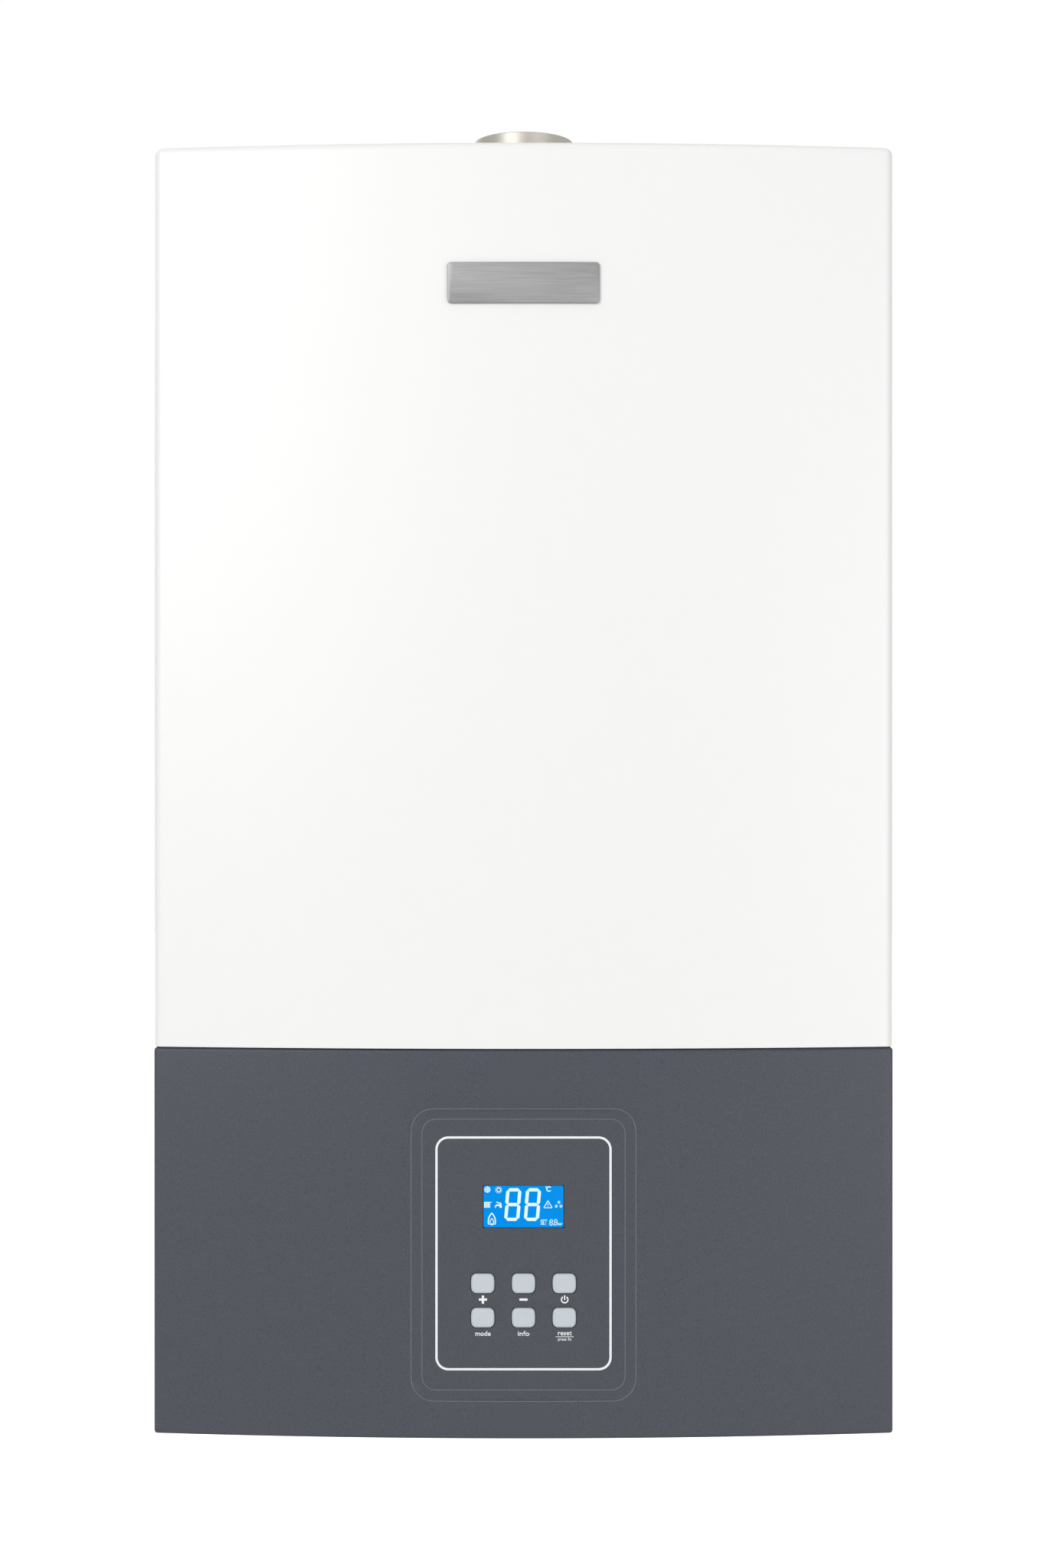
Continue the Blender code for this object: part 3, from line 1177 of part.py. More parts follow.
def build_heat_exchanger():
    front = STACK_FRONT_Y
    rear = STACK_REAR_Y
    plate = STACK_HALF_WIDTH - SIDE_PLATE / 2
    fins = prism_mesh(fin_outline(plate), (0, front, 0), (0, rear, 0))
    exchanger = add_part("heat_exchanger", fins, COPPER, (0.0, TUBE_MIDDLE_Y, EXCHANGER_Z))
    for side in (-1, 1):
        outer = side * STACK_HALF_WIDTH
        inner = side * (STACK_HALF_WIDTH - SIDE_PLATE)
        low = (min(outer, inner), front, EXCHANGER_LOW)
        fuse(exchanger, box_mesh(low, (max(outer, inner), rear, EXCHANGER_TOP)))
    first = (TUBE_COUNT - 1) / 2
    tube_ys = [TUBE_MIDDLE_Y + (index - first) * TUBE_PITCH for index in range(TUBE_COUNT)]
    for index, (near_y, far_y) in enumerate(zip(tube_ys, tube_ys[1:])):
        side = 1 if index % 2 == 0 else -1
        fuse(exchanger, bend_mesh(side * plate, near_y, far_y, EXCHANGER_Z, side))
    for side, stub_y in ((-1, FLOW_STUB_Y), (1, RETURN_STUB_Y)):
        start = (side * plate, stub_y, EXCHANGER_Z)
        end = (side * STUB_X, stub_y, EXCHANGER_Z)
        fuse(exchanger, rod_mesh(start, end, RISER_RADIUS, 12))


def tube_mesh(points, radius, sides_level=1):
    """A round tube along points, made as a bevelled curve and welded into a mesh."""
    curve = bpy.data.curves.new("route", "CURVE")
    curve.dimensions = "3D"
    curve.bevel_depth = radius
    curve.bevel_resolution = sides_level
    curve.use_fill_caps = True
    line = curve.splines.new("POLY")
    line.points.add(len(points) - 1)
    for point, place in zip(line.points, points):
        point.co = (*place, 1.0)
    holder = bpy.data.objects.new("route", curve)
    bpy.context.scene.collection.objects.link(holder)
    data = bpy.data.meshes.new_from_object(holder.evaluated_get(bpy.context.evaluated_depsgraph_get()))
    mesh = bmesh.new()
    mesh.from_mesh(data)
    bmesh.ops.remove_doubles(mesh, verts=mesh.verts, dist=0.00001)
    bmesh.ops.recalc_face_normals(mesh, faces=mesh.faces)
    bpy.data.objects.remove(holder, do_unlink=True)
    bpy.data.meshes.remove(data)
    bpy.data.curves.remove(curve)
    return mesh


def bend_mesh(x, first_y, second_y, z, side):
    """A U-bend that joins two tubes outside a side plate."""
    middle = (first_y + second_y) / 2
    radius = abs(second_y - first_y) / 2
    points = [(x, first_y, z)]
    for step in range(5):
        angle = math.pi * step / 4
        y = middle + (first_y - middle) * math.cos(angle)
        points.append((x + side * (TUBE_BEND_LEAD + radius * math.sin(angle)), y, z))
    points.append((x, second_y, z))
    return tube_mesh(points, TUBE_RADIUS, 1)


def rounded_route(corners, radius, steps=4):
    """A polyline whose corners are turned on an arc of the given radius."""
    places = [Vector(corner) for corner in corners]
    points = [places[0]]
    for before, corner, after in zip(places, places[1:], places[2:]):
        back = (before - corner).normalized()
        ahead = (after - corner).normalized()
        half = back.angle(ahead) / 2
        reach = radius / math.tan(half)
        start = corner + back * reach
        end = corner + ahead * reach
        centre = corner + (back + ahead).normalized() * (radius / math.sin(half))
        first = start - centre
        last = end - centre
        axis = first.cross(last)
        sweep = first.angle(last)
        for step in range(steps + 1):
            points.append(centre + Matrix.Rotation(sweep * step / steps, 3, axis) @ first)
    points.append(places[-1])
    return points


def build_pipe(name, corners, pipe_radius, bend, material):
    mesh = tube_mesh(rounded_route(corners, bend), pipe_radius, 2)
    return add_part(name, mesh, material, corners[0])


def rectangle_ring(low_x, high_x, low_y, high_y, z):
    return [(low_x, low_y, z), (high_x, low_y, z), (high_x, high_y, z), (low_x, high_y, z)]


def ring_loft(rings):
    """Side faces between closed rings of points, each with the same number of points."""
    mesh = bmesh.new()
    loops = [[mesh.verts.new(place) for place in ring] for ring in rings]
    count = len(rings[0])
    for lower, upper in zip(loops, loops[1:]):
        for index in range(count):
            following = (index + 1) % count
            mesh.faces.new((lower[index], lower[following], upper[following], upper[index]))
    return mesh, loops


def add_sheet_wall(obj, thickness):
    wall = obj.modifiers.new("sheet", "SOLIDIFY")
    wall.thickness = thickness
    wall.offset = -1.0
    wall.use_even_offset = True


def on_fan_axis(y):
    return (FAN_X, y, FAN_Z)


def build_flue_hood():
    half = STACK_HALF_WIDTH
    skirt = HOOD_LOW + HOOD_SKIRT
    eaves = skirt + HOOD_RISE
    throat_rear = THROAT_FRONT_Y + THROAT_DEPTH
    throat = (-THROAT_LEFT, THROAT_RIGHT, THROAT_FRONT_Y, throat_rear)
    base = (-half, half, STACK_FRONT_Y, STACK_REAR_Y)
    mesh, loops = ring_loft([
        rectangle_ring(*base, HOOD_LOW), rectangle_ring(*base, skirt),
        rectangle_ring(*throat, eaves), rectangle_ring(*throat, THROAT_TOP),
    ])
    mesh.faces.new(loops[-1])
    bmesh.ops.recalc_face_normals(mesh, faces=mesh.faces)
    hood = add_part("flue_hood", mesh, GALVANISED, (0.0, TUBE_MIDDLE_Y, HOOD_LOW))
    add_sheet_wall(hood, HOOD_WALL)
    ahead = on_fan_axis(THROAT_FRONT_Y - CUT_MARGIN)
    behind = on_fan_axis(THROAT_FRONT_Y + CUT_MARGIN)
    cut(hood, rod_mesh(ahead, behind, INLET_RADIUS, 24))


# Fan: a spiral housing with its wheel and motor, and an outlet that turns from square to round


def build_fan_housing():
    left = FAN_X - SCROLL_END
    right = left + SCROLL_OUTLET_WIDTH
    sweep = math.pi + math.acos((right - FAN_X) / SCROLL_START)
    outline = []
    for step in range(SCROLL_STEPS + 1):
        share = step / SCROLL_STEPS
        angle = math.pi + share * sweep
        radius = SCROLL_END - (SCROLL_END - SCROLL_START) * share
        outline.append((FAN_X + radius * math.cos(angle), 0.0, FAN_Z + radius * math.sin(angle)))
    outline.append((right, 0.0, SCROLL_OUTLET_TOP))
    outline.append((left, 0.0, SCROLL_OUTLET_TOP))
    shell = prism_mesh(outline, (0, FAN_FRONT_Y, 0), (0, FAN_REAR_Y, 0))
    lid = [face for face in shell.faces if face.calc_center_median().z > SCROLL_OUTLET_TOP - 1e-5]
    bmesh.ops.delete(shell, geom=lid, context="FACES_ONLY")
    housing = add_part("fan_housing", shell, GALVANISED, on_fan_axis(FLUE_Y))
    add_sheet_wall(housing, FAN_WALL)
    for wall_y, radius in ((FAN_REAR_Y, INLET_RADIUS), (FAN_FRONT_Y, FAN_HOUSING_BORE)):
        ahead = on_fan_axis(wall_y - CUT_MARGIN)
        behind = on_fan_axis(wall_y + CUT_MARGIN)
        cut(housing, rod_mesh(ahead, behind, radius, 24))
    return left, right


def build_fan_outlet(left, right):
    """The adaptor above the housing: a rectangle below, a circle above, then a short collar."""
    centre_x = (left + right) / 2
    low = SCROLL_OUTLET_TOP + FIT
    high = low + OUTLET_LOFT
    collar_top = high + OUTLET_COLLAR
    radius = FLUE_DIAMETER / 2 - FLUE_WALL - FIT
    half_x = (right - left) / 2
    half_y = FAN_WIDTH / 2
    square = []
    circle = []
    for index in range(OUTLET_SIDES):
        angle = 2 * math.pi * (index + 0.5) / OUTLET_SIDES
        c = math.cos(angle)
        s = math.sin(angle)
        reach = max(abs(c), abs(s))
        square.append((centre_x + half_x * c / reach, FLUE_Y + half_y * s / reach, low))
        circle.append((radius * c, FLUE_Y + radius * s, high))
    top = [(x, y, collar_top) for x, y, _ in circle]
    mesh, _ = ring_loft([square, circle, top])
    bmesh.ops.recalc_face_normals(mesh, faces=mesh.faces)
    outlet = add_part("fan_outlet", mesh, GALVANISED, (centre_x, FLUE_Y, low))
    wall = outlet.modifiers.new("sheet", "SOLIDIFY")
    wall.thickness = FAN_WALL
    wall.offset = -1.0


def build_fan_wheel():
    rear = FAN_REAR_Y - FAN_WALL - WHEEL_REAR_GAP
    front = rear - WHEEL_WIDTH
    disc = rod_mesh(on_fan_axis(front - WHEEL_DISC), on_fan_axis(front), WHEEL_RADIUS, 28)
    wheel = add_part("fan_wheel", disc, ALUMINIUM, on_fan_axis(FLUE_Y))
    blades = bmesh.new()
    for index in range(WHEEL_BLADES):
        turn = 2 * math.pi * index / WHEEL_BLADES
        append_mesh(blades, fan_blade(turn, front - WHEEL_SINK, rear - WHEEL_SINK))
    fuse(wheel, blades)
    ring_mesh = rod_mesh(on_fan_axis(rear - WHEEL_RING), on_fan_axis(rear), WHEEL_RADIUS, 28)
    ring = add_object("fan_wheel_ring", ring_mesh, CUTTERS, wheel.location)
    ring.hide_render = True
    ring.display_type = "WIRE"
    cut(ring, rod_mesh(on_fan_axis(rear - CUT_MARGIN), on_fan_axis(rear + CUT_MARGIN),
                       WHEEL_RADIUS - WHEEL_RING_WIDTH, 28))
    step = wheel.modifiers.new("ring", "BOOLEAN")
    step.operation = "UNION"
    step.object = ring
    start = on_fan_axis(front - WHEEL_DISC / 2)
    shaft_end = on_fan_axis(FAN_FRONT_Y - FAN_SHAFT_REACH)
    fuse(wheel, rod_mesh(start, shaft_end, FAN_SHAFT_RADIUS, 12))
    fuse(wheel, rod_mesh(start, on_fan_axis(front + WHEEL_HUB_LENGTH), WHEEL_HUB_RADIUS, 16))


def fan_blade(turn, front, rear):
    """One forward-curved blade: an arc of sheet between the inner and outer circles."""
    steps = 2
    outer = WHEEL_RADIUS - WHEEL_BLADE_EDGE
    inner = outer - WHEEL_BLADE_DEPTH
    upper = []
    lower = []
    for step in range(steps + 1):
        share = step / steps
        radius = inner + (outer - inner) * share
        angle = turn + WHEEL_BLADE_SWEEP * share ** 2
        offset = WHEEL_BLADE_THICKNESS / (2 * radius)
        upper.append(on_circle(FAN_X, FAN_Z, radius, angle + offset))
        lower.append(on_circle(FAN_X, FAN_Z, radius, angle - offset))
    return prism_mesh(upper + list(reversed(lower)), (0, front, 0), (0, rear, 0))


def on_circle(centre_x, centre_z, radius, angle):
    return (centre_x + radius * math.cos(angle), 0.0, centre_z + radius * math.sin(angle))


def build_fan_motor():
    face = FAN_FRONT_Y - FIT
    body = rod_mesh(on_fan_axis(face), on_fan_axis(face - FAN_MOTOR_LENGTH), FAN_MOTOR_RADIUS, 20)
    motor = add_part("fan_motor", body, GALVANISED, on_fan_axis(FLUE_Y))
    half_x = FAN_CORE_SIZE / 2
    half_z = FAN_CORE_HEIGHT / 2
    core_rear = face - FAN_CORE_SETBACK
    core = box_mesh((FAN_X - half_x, core_rear - FAN_CORE_DEPTH, FAN_Z - half_z),
                    (FAN_X + half_x, core_rear, FAN_Z + half_z))
    bevel_mesh(core, FAN_CORE_CORNER, 2, lambda edge: abs(edge_direction(edge).y) > 0.9)
    fuse(motor, core)
    coil_x = FAN_X + half_x - FAN_COIL_INSET
    coil_y = face - FAN_COIL_SETBACK
    coil_low = (coil_x, coil_y, FAN_Z - FAN_COIL_LENGTH / 2)
    coil_high = (coil_x, coil_y, FAN_Z + FAN_COIL_LENGTH / 2)
    fuse(motor, rod_mesh(coil_low, coil_high, FAN_COIL_RADIUS, 16))
    cut(motor, rod_mesh(on_fan_axis(face + CUT_MARGIN), on_fan_axis(face - FAN_SHAFT_BORE),
                        FAN_SHAFT_RADIUS + FIT, 12))


# Gas side


def build_gas_valve():
    low = BLOCK_LOW
    high = low + GAS_VALVE_HEIGHT
    rear = -GAS_VALVE_REAR
    front = rear - GAS_VALVE_DEPTH
    shoulder = low + GAS_VALVE_BODY_HEIGHT
    body = box_mesh((-GAS_VALVE_HALF_WIDTH, front, low), (GAS_VALVE_HALF_WIDTH, rear, shoulder))
    bevel_mesh(body, GAS_VALVE_CORNER, 2, is_upright)
    valve = add_part("gas_valve", body, ALUMINIUM, (0.0, NIPPLE_Y, low))
    for x in (-GAS_COIL_OFFSET, GAS_COIL_OFFSET):
        start = (x, NIPPLE_Y, shoulder - GAS_SINK)
        fuse(valve, rod_mesh(start, (x, NIPPLE_Y, high - GAS_COIL_BELOW_TOP), GAS_COIL_RADIUS, 16))
    outlet_y = NIPPLE_Y + GAS_OUTLET_OFFSET
    start = (0, outlet_y, shoulder - GAS_SINK)
    fuse(valve, rod_mesh(start, (0, outlet_y, high), GAS_PIPE_RADIUS + GAS_OUTLET_WALL, 16))


def build_gas_pipe():
    start_z = BLOCK_LOW + GAS_VALVE_HEIGHT + FIT
    end_z = MANIFOLD_Z - MANIFOLD_SIZE / 2 - FIT
    outlet_y = NIPPLE_Y + GAS_OUTLET_OFFSET
    manifold_y = MANIFOLD_REAR_Y - MANIFOLD_SIZE / 2
    corners = [
        (0.0, outlet_y, start_z), (0.0, outlet_y, start_z + GAS_PIPE_FIRST_RISE),
        (0.0, manifold_y, end_z - GAS_PIPE_LAST_RISE), (0.0, manifold_y, end_z),
    ]
    build_pipe("gas_pipe", corners, GAS_PIPE_RADIUS, GAS_PIPE_BEND, COPPER)


def build_gas_manifold():
    half = (BLADE_COUNT - 1) / 2 * BLADE_PITCH + MANIFOLD_END
    front = MANIFOLD_REAR_Y - MANIFOLD_SIZE
    reach = MANIFOLD_SIZE / 2
    bar = box_mesh((-half, front, MANIFOLD_Z - reach), (half, MANIFOLD_REAR_Y, MANIFOLD_Z + reach))
    manifold = add_part("gas_manifold", bar, ALUMINIUM, (0.0, front + reach, MANIFOLD_Z))
    nozzles = bmesh.new()
    for x in blade_places():
        start = (x, MANIFOLD_REAR_Y - SHEET, MANIFOLD_Z)
        end = (x, STACK_FRONT_Y - FIT, MANIFOLD_Z)
        append_mesh(nozzles, rod_mesh(start, end, NOZZLE_RADIUS, 8, NOZZLE_RADIUS * NOZZLE_TAPER))
    fuse(manifold, nozzles)


def build_electrode():
    z = electrode_height()
    front = STACK_FRONT_Y - ELECTRODE_FRONT
    rear = front + ELECTRODE_LENGTH
    sink = ELECTRODE_SINK
    body = rod_mesh((ELECTRODE_X, front, z), (ELECTRODE_X, rear, z), ELECTRODE_RADIUS, 12)
    electrode = add_part("ignition_electrode", body, CERAMIC, (ELECTRODE_X, front, z))
    wire_start = (ELECTRODE_X, rear - sink, z)
    wire_end = (ELECTRODE_X, rear + ELECTRODE_WIRE_LENGTH, z)
    fuse(electrode, rod_mesh(wire_start, wire_end, ELECTRODE_WIRE_RADIUS, 8))
    pin_start = (ELECTRODE_X, front + sink, z)
    pin_end = (ELECTRODE_X, front - ELECTRODE_PIN_LENGTH, z)
    fuse(electrode, rod_mesh(pin_start, pin_end, ELECTRODE_PIN_RADIUS, 8))


# Water side


def build_water_blocks():
    for name, side in (("flow_block", -1), ("return_block", 1)):
        inner = side * BLOCK_INNER_X
        outer = side * BLOCK_OUTER_X
        low = (min(inner, outer), BLOCK_FRONT_Y, BLOCK_LOW)
        high = (max(inner, outer), BLOCK_REAR_Y, BLOCK_TOP)
        mesh = box_mesh(low, high)
        bevel_mesh(mesh, BLOCK_CORNER, 2, lambda edge: abs(edge_direction(edge).x) > 0.9)
        add_part(name, mesh, BRASS, ((inner + outer) / 2, NIPPLE_Y, BLOCK_LOW))


def on_pump_axis(y):
    return (PUMP_X, y, PUMP_Z)


def build_pump_body():
    volute = rod_mesh(on_pump_axis(VOLUTE_FRONT_Y), on_pump_axis(VOLUTE_REAR_Y), VOLUTE_RADIUS, 28)
    body = add_part("pump_body", volute, BLACK_PLASTIC, on_pump_axis(PUMP_Y))
    stub_top = (PUMP_X, PUMP_Y, PUMP_Z - VOLUTE_RADIUS + PUMP_STUB_SINK)
    fuse(body, rod_mesh((PUMP_X, PUMP_Y, BLOCK_TOP + FIT), stub_top, PUMP_STUB_RADIUS, 16))
    outlet = (PUMP_OUTLET_X, PUMP_Y, PUMP_Z)
    outlet_top = (PUMP_OUTLET_X, PUMP_Y, PUMP_OUTLET_TOP)
    fuse(body, rod_mesh(outlet, outlet_top, RISER_RADIUS + PUMP_OUTLET_WALL, 16))
    vent_root = (VENT_X, PUMP_Y, PUMP_Z + VENT_ROOT)
    vent_top = (VENT_X, PUMP_Y, vent_foot_height())
    fuse(body, rod_mesh(vent_root, vent_top, VENT_RADIUS * 0.6, 14))
    mouth = on_pump_axis(VOLUTE_FRONT_Y - CUT_MARGIN)
    floor = on_pump_axis(VOLUTE_FRONT_Y + VOLUTE_CAVITY_DEPTH)
    cut(body, rod_mesh(mouth, floor, VOLUTE_CAVITY_RADIUS, 20))


def build_pump_motor():
    face = VOLUTE_FRONT_Y - FIT
    end = PUMP_MOTOR_LENGTH
    cap = end - PUMP_CAP_STEP
    barrel = PUMP_MOTOR_RADIUS * 0.92
    bore = PUMP_SHAFT_RADIUS + FIT
    profile = [
        (0.0, end), (PUMP_MOTOR_RADIUS * 0.30, end), (PUMP_MOTOR_RADIUS * 0.34, cap),
        (PUMP_MOTOR_RADIUS * 0.86, cap), (barrel, end - PUMP_CAP_SHOULDER), (barrel, PUMP_FLANGE_THICKNESS),
        (VOLUTE_RADIUS, PUMP_FLANGE_THICKNESS), (VOLUTE_RADIUS, 0.0), (bore, 0.0), (bore, PUMP_SHAFT_BORE),
        (0.0, PUMP_SHAFT_BORE),
    ]
    motor = turned_part("pump_motor", profile, CAST_IRON, on_pump_axis(face), (0.0, -1.0, 0.0), 24)
    half = PUMP_MOTOR_RADIUS * 0.62
    box_rear = face - PUMP_FLANGE_THICKNESS - PUMP_BOX_REACH
    box_top = PUMP_Z + PUMP_MOTOR_RADIUS + PUMP_BOX_REACH
    low = (PUMP_X - half, face - end + PUMP_BOX_REAR, PUMP_Z + PUMP_MOTOR_RADIUS * 0.5)
    fuse(motor, box_mesh(low, (PUMP_X + half, box_rear, box_top)))


def build_pump_wheel():
    front = VOLUTE_FRONT_Y + PUMP_WHEEL_SETBACK
    rear = front + PUMP_WHEEL_WIDTH
    disc = rod_mesh(on_pump_axis(front), on_pump_axis(front + PUMP_WHEEL_DISC), PUMP_WHEEL_RADIUS, 20)
    wheel = add_part("pump_wheel", disc, STAINLESS, on_pump_axis(PUMP_Y))
    vanes = bmesh.new()
    for index in range(PUMP_VANES):
        append_mesh(vanes, pump_vane(2 * math.pi * index / PUMP_VANES, front + PUMP_WHEEL_DISC / 2, rear))
    fuse(wheel, vanes)
    shaft_end = on_pump_axis(VOLUTE_FRONT_Y - FIT - PUMP_SHAFT_REACH)
    fuse(wheel, rod_mesh(shaft_end, on_pump_axis(rear), PUMP_SHAFT_RADIUS, 12))


def pump_vane(turn, front, rear):
    """A backward-curved vane of the pump's wheel."""
    steps = 3
    tip = PUMP_WHEEL_RADIUS - PUMP_VANE_TIP_GAP
    upper = []
    lower = []
    for step in range(steps + 1):
        share = step / steps
        radius = PUMP_VANE_ROOT + (tip - PUMP_VANE_ROOT) * share
        angle = turn - PUMP_VANE_SWEEP * share
        offset = PUMP_VANE_THICKNESS / (2 * radius)
        upper.append(on_circle(PUMP_X, PUMP_Z, radius, angle + offset))
        lower.append(on_circle(PUMP_X, PUMP_Z, radius, angle - offset))
    return prism_mesh(upper + list(reversed(lower)), (0, front, 0), (0, rear, 0))


def vent_foot_height():
    return PUMP_Z + math.sqrt(VOLUTE_RADIUS ** 2 - VENT_OFFSET ** 2) + VENT_NECK


def build_air_vent():
    radius = VENT_RADIUS
    height = VENT_HEIGHT
    shoulder = height - VENT_CAP
    profile = [
        (0.0, height), (radius * 0.25, height), (radius * 0.25, shoulder), (radius * 0.8, shoulder),
        (radius, height - VENT_SHOULDER), (radius, VENT_FOOT), (radius * 0.6, 0.0), (0.0, 0.0),
    ]
    turned_part("air_vent", profile, BRASS, (VENT_X, PUMP_Y, vent_foot_height() + FIT), steps=16)


def build_plate_exchanger():
    rear = BLOCK_FRONT_Y - FIT
    middle_z = FLOOR_Z + PLATE_ABOVE_FLOOR + PLATE_HEIGHT / 2
    pitch = PLATE_STACK_DEPTH / PLATE_COUNT
    width = 2 * PLATE_HALF_LENGTH
    waist = 2 * PLATE_WAIST
    inner_corner = PLATE_CORNER - PLATE_WAIST
    outline = rounded_rectangle(width - waist, PLATE_HEIGHT - waist, inner_corner, 0.0, middle_z, 2)
    block = prism_mesh(outline, (0, rear - PLATE_STACK_DEPTH, 0), (0, rear, 0))
    stack = add_part("plate_exchanger", block, STAINLESS, (0.0, rear, middle_z))
    lips = bmesh.new()
    edge = rounded_rectangle(width, PLATE_HEIGHT, PLATE_CORNER, 0.0, middle_z, 2)
    for index in range(PLATE_COUNT):
        near = rear - (index + 0.25) * pitch
        append_mesh(lips, prism_mesh(edge, (0, near - pitch / 2, 0), (0, near, 0)))
    fuse(stack, lips)


def build_diverter_motor():
    half = DIVERTER_WIDTH / 2
    low = BLOCK_TOP + FIT
    foot = low + DIVERTER_FOOT
    mesh = box_mesh((DIVERTER_X - half, NIPPLE_Y - half, foot),
                    (DIVERTER_X + half, NIPPLE_Y + half - DIVERTER_REAR_TRIM, low + DIVERTER_HEIGHT))
    bevel_mesh(mesh, DIVERTER_CORNER, 2, is_upright)
    motor = add_part("diverter_motor", mesh, BLACK_PLASTIC, (DIVERTER_X, NIPPLE_Y, low))
    fuse(motor, rod_mesh((DIVERTER_X, NIPPLE_Y, low), (DIVERTER_X, NIPPLE_Y, foot + DIVERTER_SINK),
                         DIVERTER_FOOT_RADIUS, 16))


def build_risers():
    level = (BLOCK_LOW + BLOCK_TOP) / 2
    corners = [
        (-STUB_X - FIT, FLOW_STUB_Y, EXCHANGER_Z), (-RISER_X, FLOW_STUB_Y, EXCHANGER_Z),
        (-RISER_X, FLOW_STUB_Y, FLOW_KINK_TOP), (-RISER_X, NIPPLE_Y, FLOW_KINK_FOOT),
        (-RISER_X, NIPPLE_Y, level), (-BLOCK_OUTER_X - FIT, NIPPLE_Y, level),
    ]
    build_pipe("flow_riser", corners, RISER_RADIUS, RISER_BEND, COPPER)
    rise = PUMP_OUTLET_TOP + RETURN_RISE
    corners = [
        (PUMP_OUTLET_X, PUMP_Y, PUMP_OUTLET_TOP + FIT), (PUMP_OUTLET_X, PUMP_Y, rise),
        (RISER_X, RETURN_STUB_Y, rise), (RISER_X, RETURN_STUB_Y, EXCHANGER_Z),
        (STUB_X + FIT, RETURN_STUB_Y, EXCHANGER_Z),
    ]
    build_pipe("return_riser", corners, RISER_RADIUS, RISER_BEND, COPPER)


def build_vessel_pipe():
    start_y = -SHEET - FIT - VESSEL_DEPTH / 2
    start_z = VESSEL_Z - VESSEL_RADIUS - VESSEL_NIPPLE_LENGTH - FIT
    end_x = BLOCK_INNER_X + VESSEL_PIPE_RADIUS + VESSEL_PIPE_EDGE
    end_y = BLOCK_REAR_Y - VESSEL_PIPE_INSET
    turn_z = start_z - VESSEL_PIPE_DROP
    corners = [
        (0.0, start_y, start_z), (0.0, start_y, turn_z), (end_x, end_y, turn_z - VESSEL_PIPE_SLANT),
        (end_x, end_y, BLOCK_TOP + FIT),
    ]
    build_pipe("vessel_pipe", corners, VESSEL_PIPE_RADIUS, VESSEL_PIPE_BEND, COPPER)


def build_safety_valve():
    level = (BLOCK_LOW + BLOCK_TOP) / 2
    rear = BLOCK_REAR_Y - SAFETY_REAR_INSET
    front = rear - SAFETY_LENGTH
    barrel = rod_mesh((SAFETY_X, rear, level), (SAFETY_X, front, level), SAFETY_RADIUS, 20)
    body = add_part("safety_valve", barrel, BRASS, (SAFETY_X, NIPPLE_Y, level))
    middle = (SAFETY_X, NIPPLE_Y, level)
    outlet = (SAFETY_X, NIPPLE_Y, FLOOR_Z + SAFETY_OUTLET_GAP)
    fuse(body, rod_mesh((BLOCK_OUTER_X + FIT, NIPPLE_Y, level), middle, SAFETY_ARM_RADIUS, 14))
    fuse(body, rod_mesh(middle, outlet, SAFETY_ARM_RADIUS, 14))


def build_safety_knob():
    level = (BLOCK_LOW + BLOCK_TOP) / 2
    rear = BLOCK_REAR_Y - SAFETY_REAR_INSET - SAFETY_LENGTH - FIT
    front = rear - SAFETY_KNOB_LENGTH
    disc = rod_mesh((SAFETY_X, rear, level), (SAFETY_X, front, level), SAFETY_KNOB_RADIUS, 24)
    knob = add_part("safety_knob", disc, RED_PLASTIC, (SAFETY_X, rear, level))
    flutes = bmesh.new()
    for index in range(KNOB_FLUTES):
        angle = 2 * math.pi * index / KNOB_FLUTES
        x, _, z = on_circle(SAFETY_X, level, SAFETY_KNOB_RADIUS + KNOB_FLUTE_OFFSET, angle)
        start = (x, rear - KNOB_FLUTE_START, z)
        append_mesh(flutes, rod_mesh(start, (x, front - CUT_MARGIN, z), KNOB_FLUTE_RADIUS, 10))
    cut(knob, flutes)


def build_taps():
    """The filling knob on the right and the drain cock on the left, under the floor."""
    head_top = BOTTOM - TAP_GAP
    head_low = head_top - TAP_HEIGHT
    for name, side, material in (("filling_knob", 1, BLUE_PLASTIC), ("drain_cock", -1, BRASS)):
        x = side * TAP_X
        head = rod_mesh((x, NIPPLE_Y, head_low), (x, NIPPLE_Y, head_top), TAP_RADIUS, 24)
        knob = add_part(name, head, material, (x, NIPPLE_Y, BOTTOM))
        stem_start = (x, NIPPLE_Y, head_top - TAP_STEM_SINK)
        fuse(knob, rod_mesh(stem_start, (x, NIPPLE_Y, BLOCK_LOW - FIT), TAP_STEM_RADIUS, 14))
        if side > 0:
            reach = TAP_RADIUS + TAP_GRIP_REACH
            grip = box_mesh((x - reach, NIPPLE_Y - TAP_GRIP_HALF, head_low + TAP_GRIP_FOOT),
                            (x + reach, NIPPLE_Y + TAP_GRIP_HALF, head_top - TAP_GRIP_TOP))
            fuse(knob, bevel_mesh(grip, TAP_GRIP_EDGE, 1))
        else:
            reach = TAP_RADIUS + CUT_MARGIN
            cut(knob, box_mesh((x - reach, NIPPLE_Y - TAP_SLOT_HALF, head_low - CUT_MARGIN),
                               (x + reach, NIPPLE_Y + TAP_SLOT_HALF, head_low + TAP_SLOT_DEPTH)))


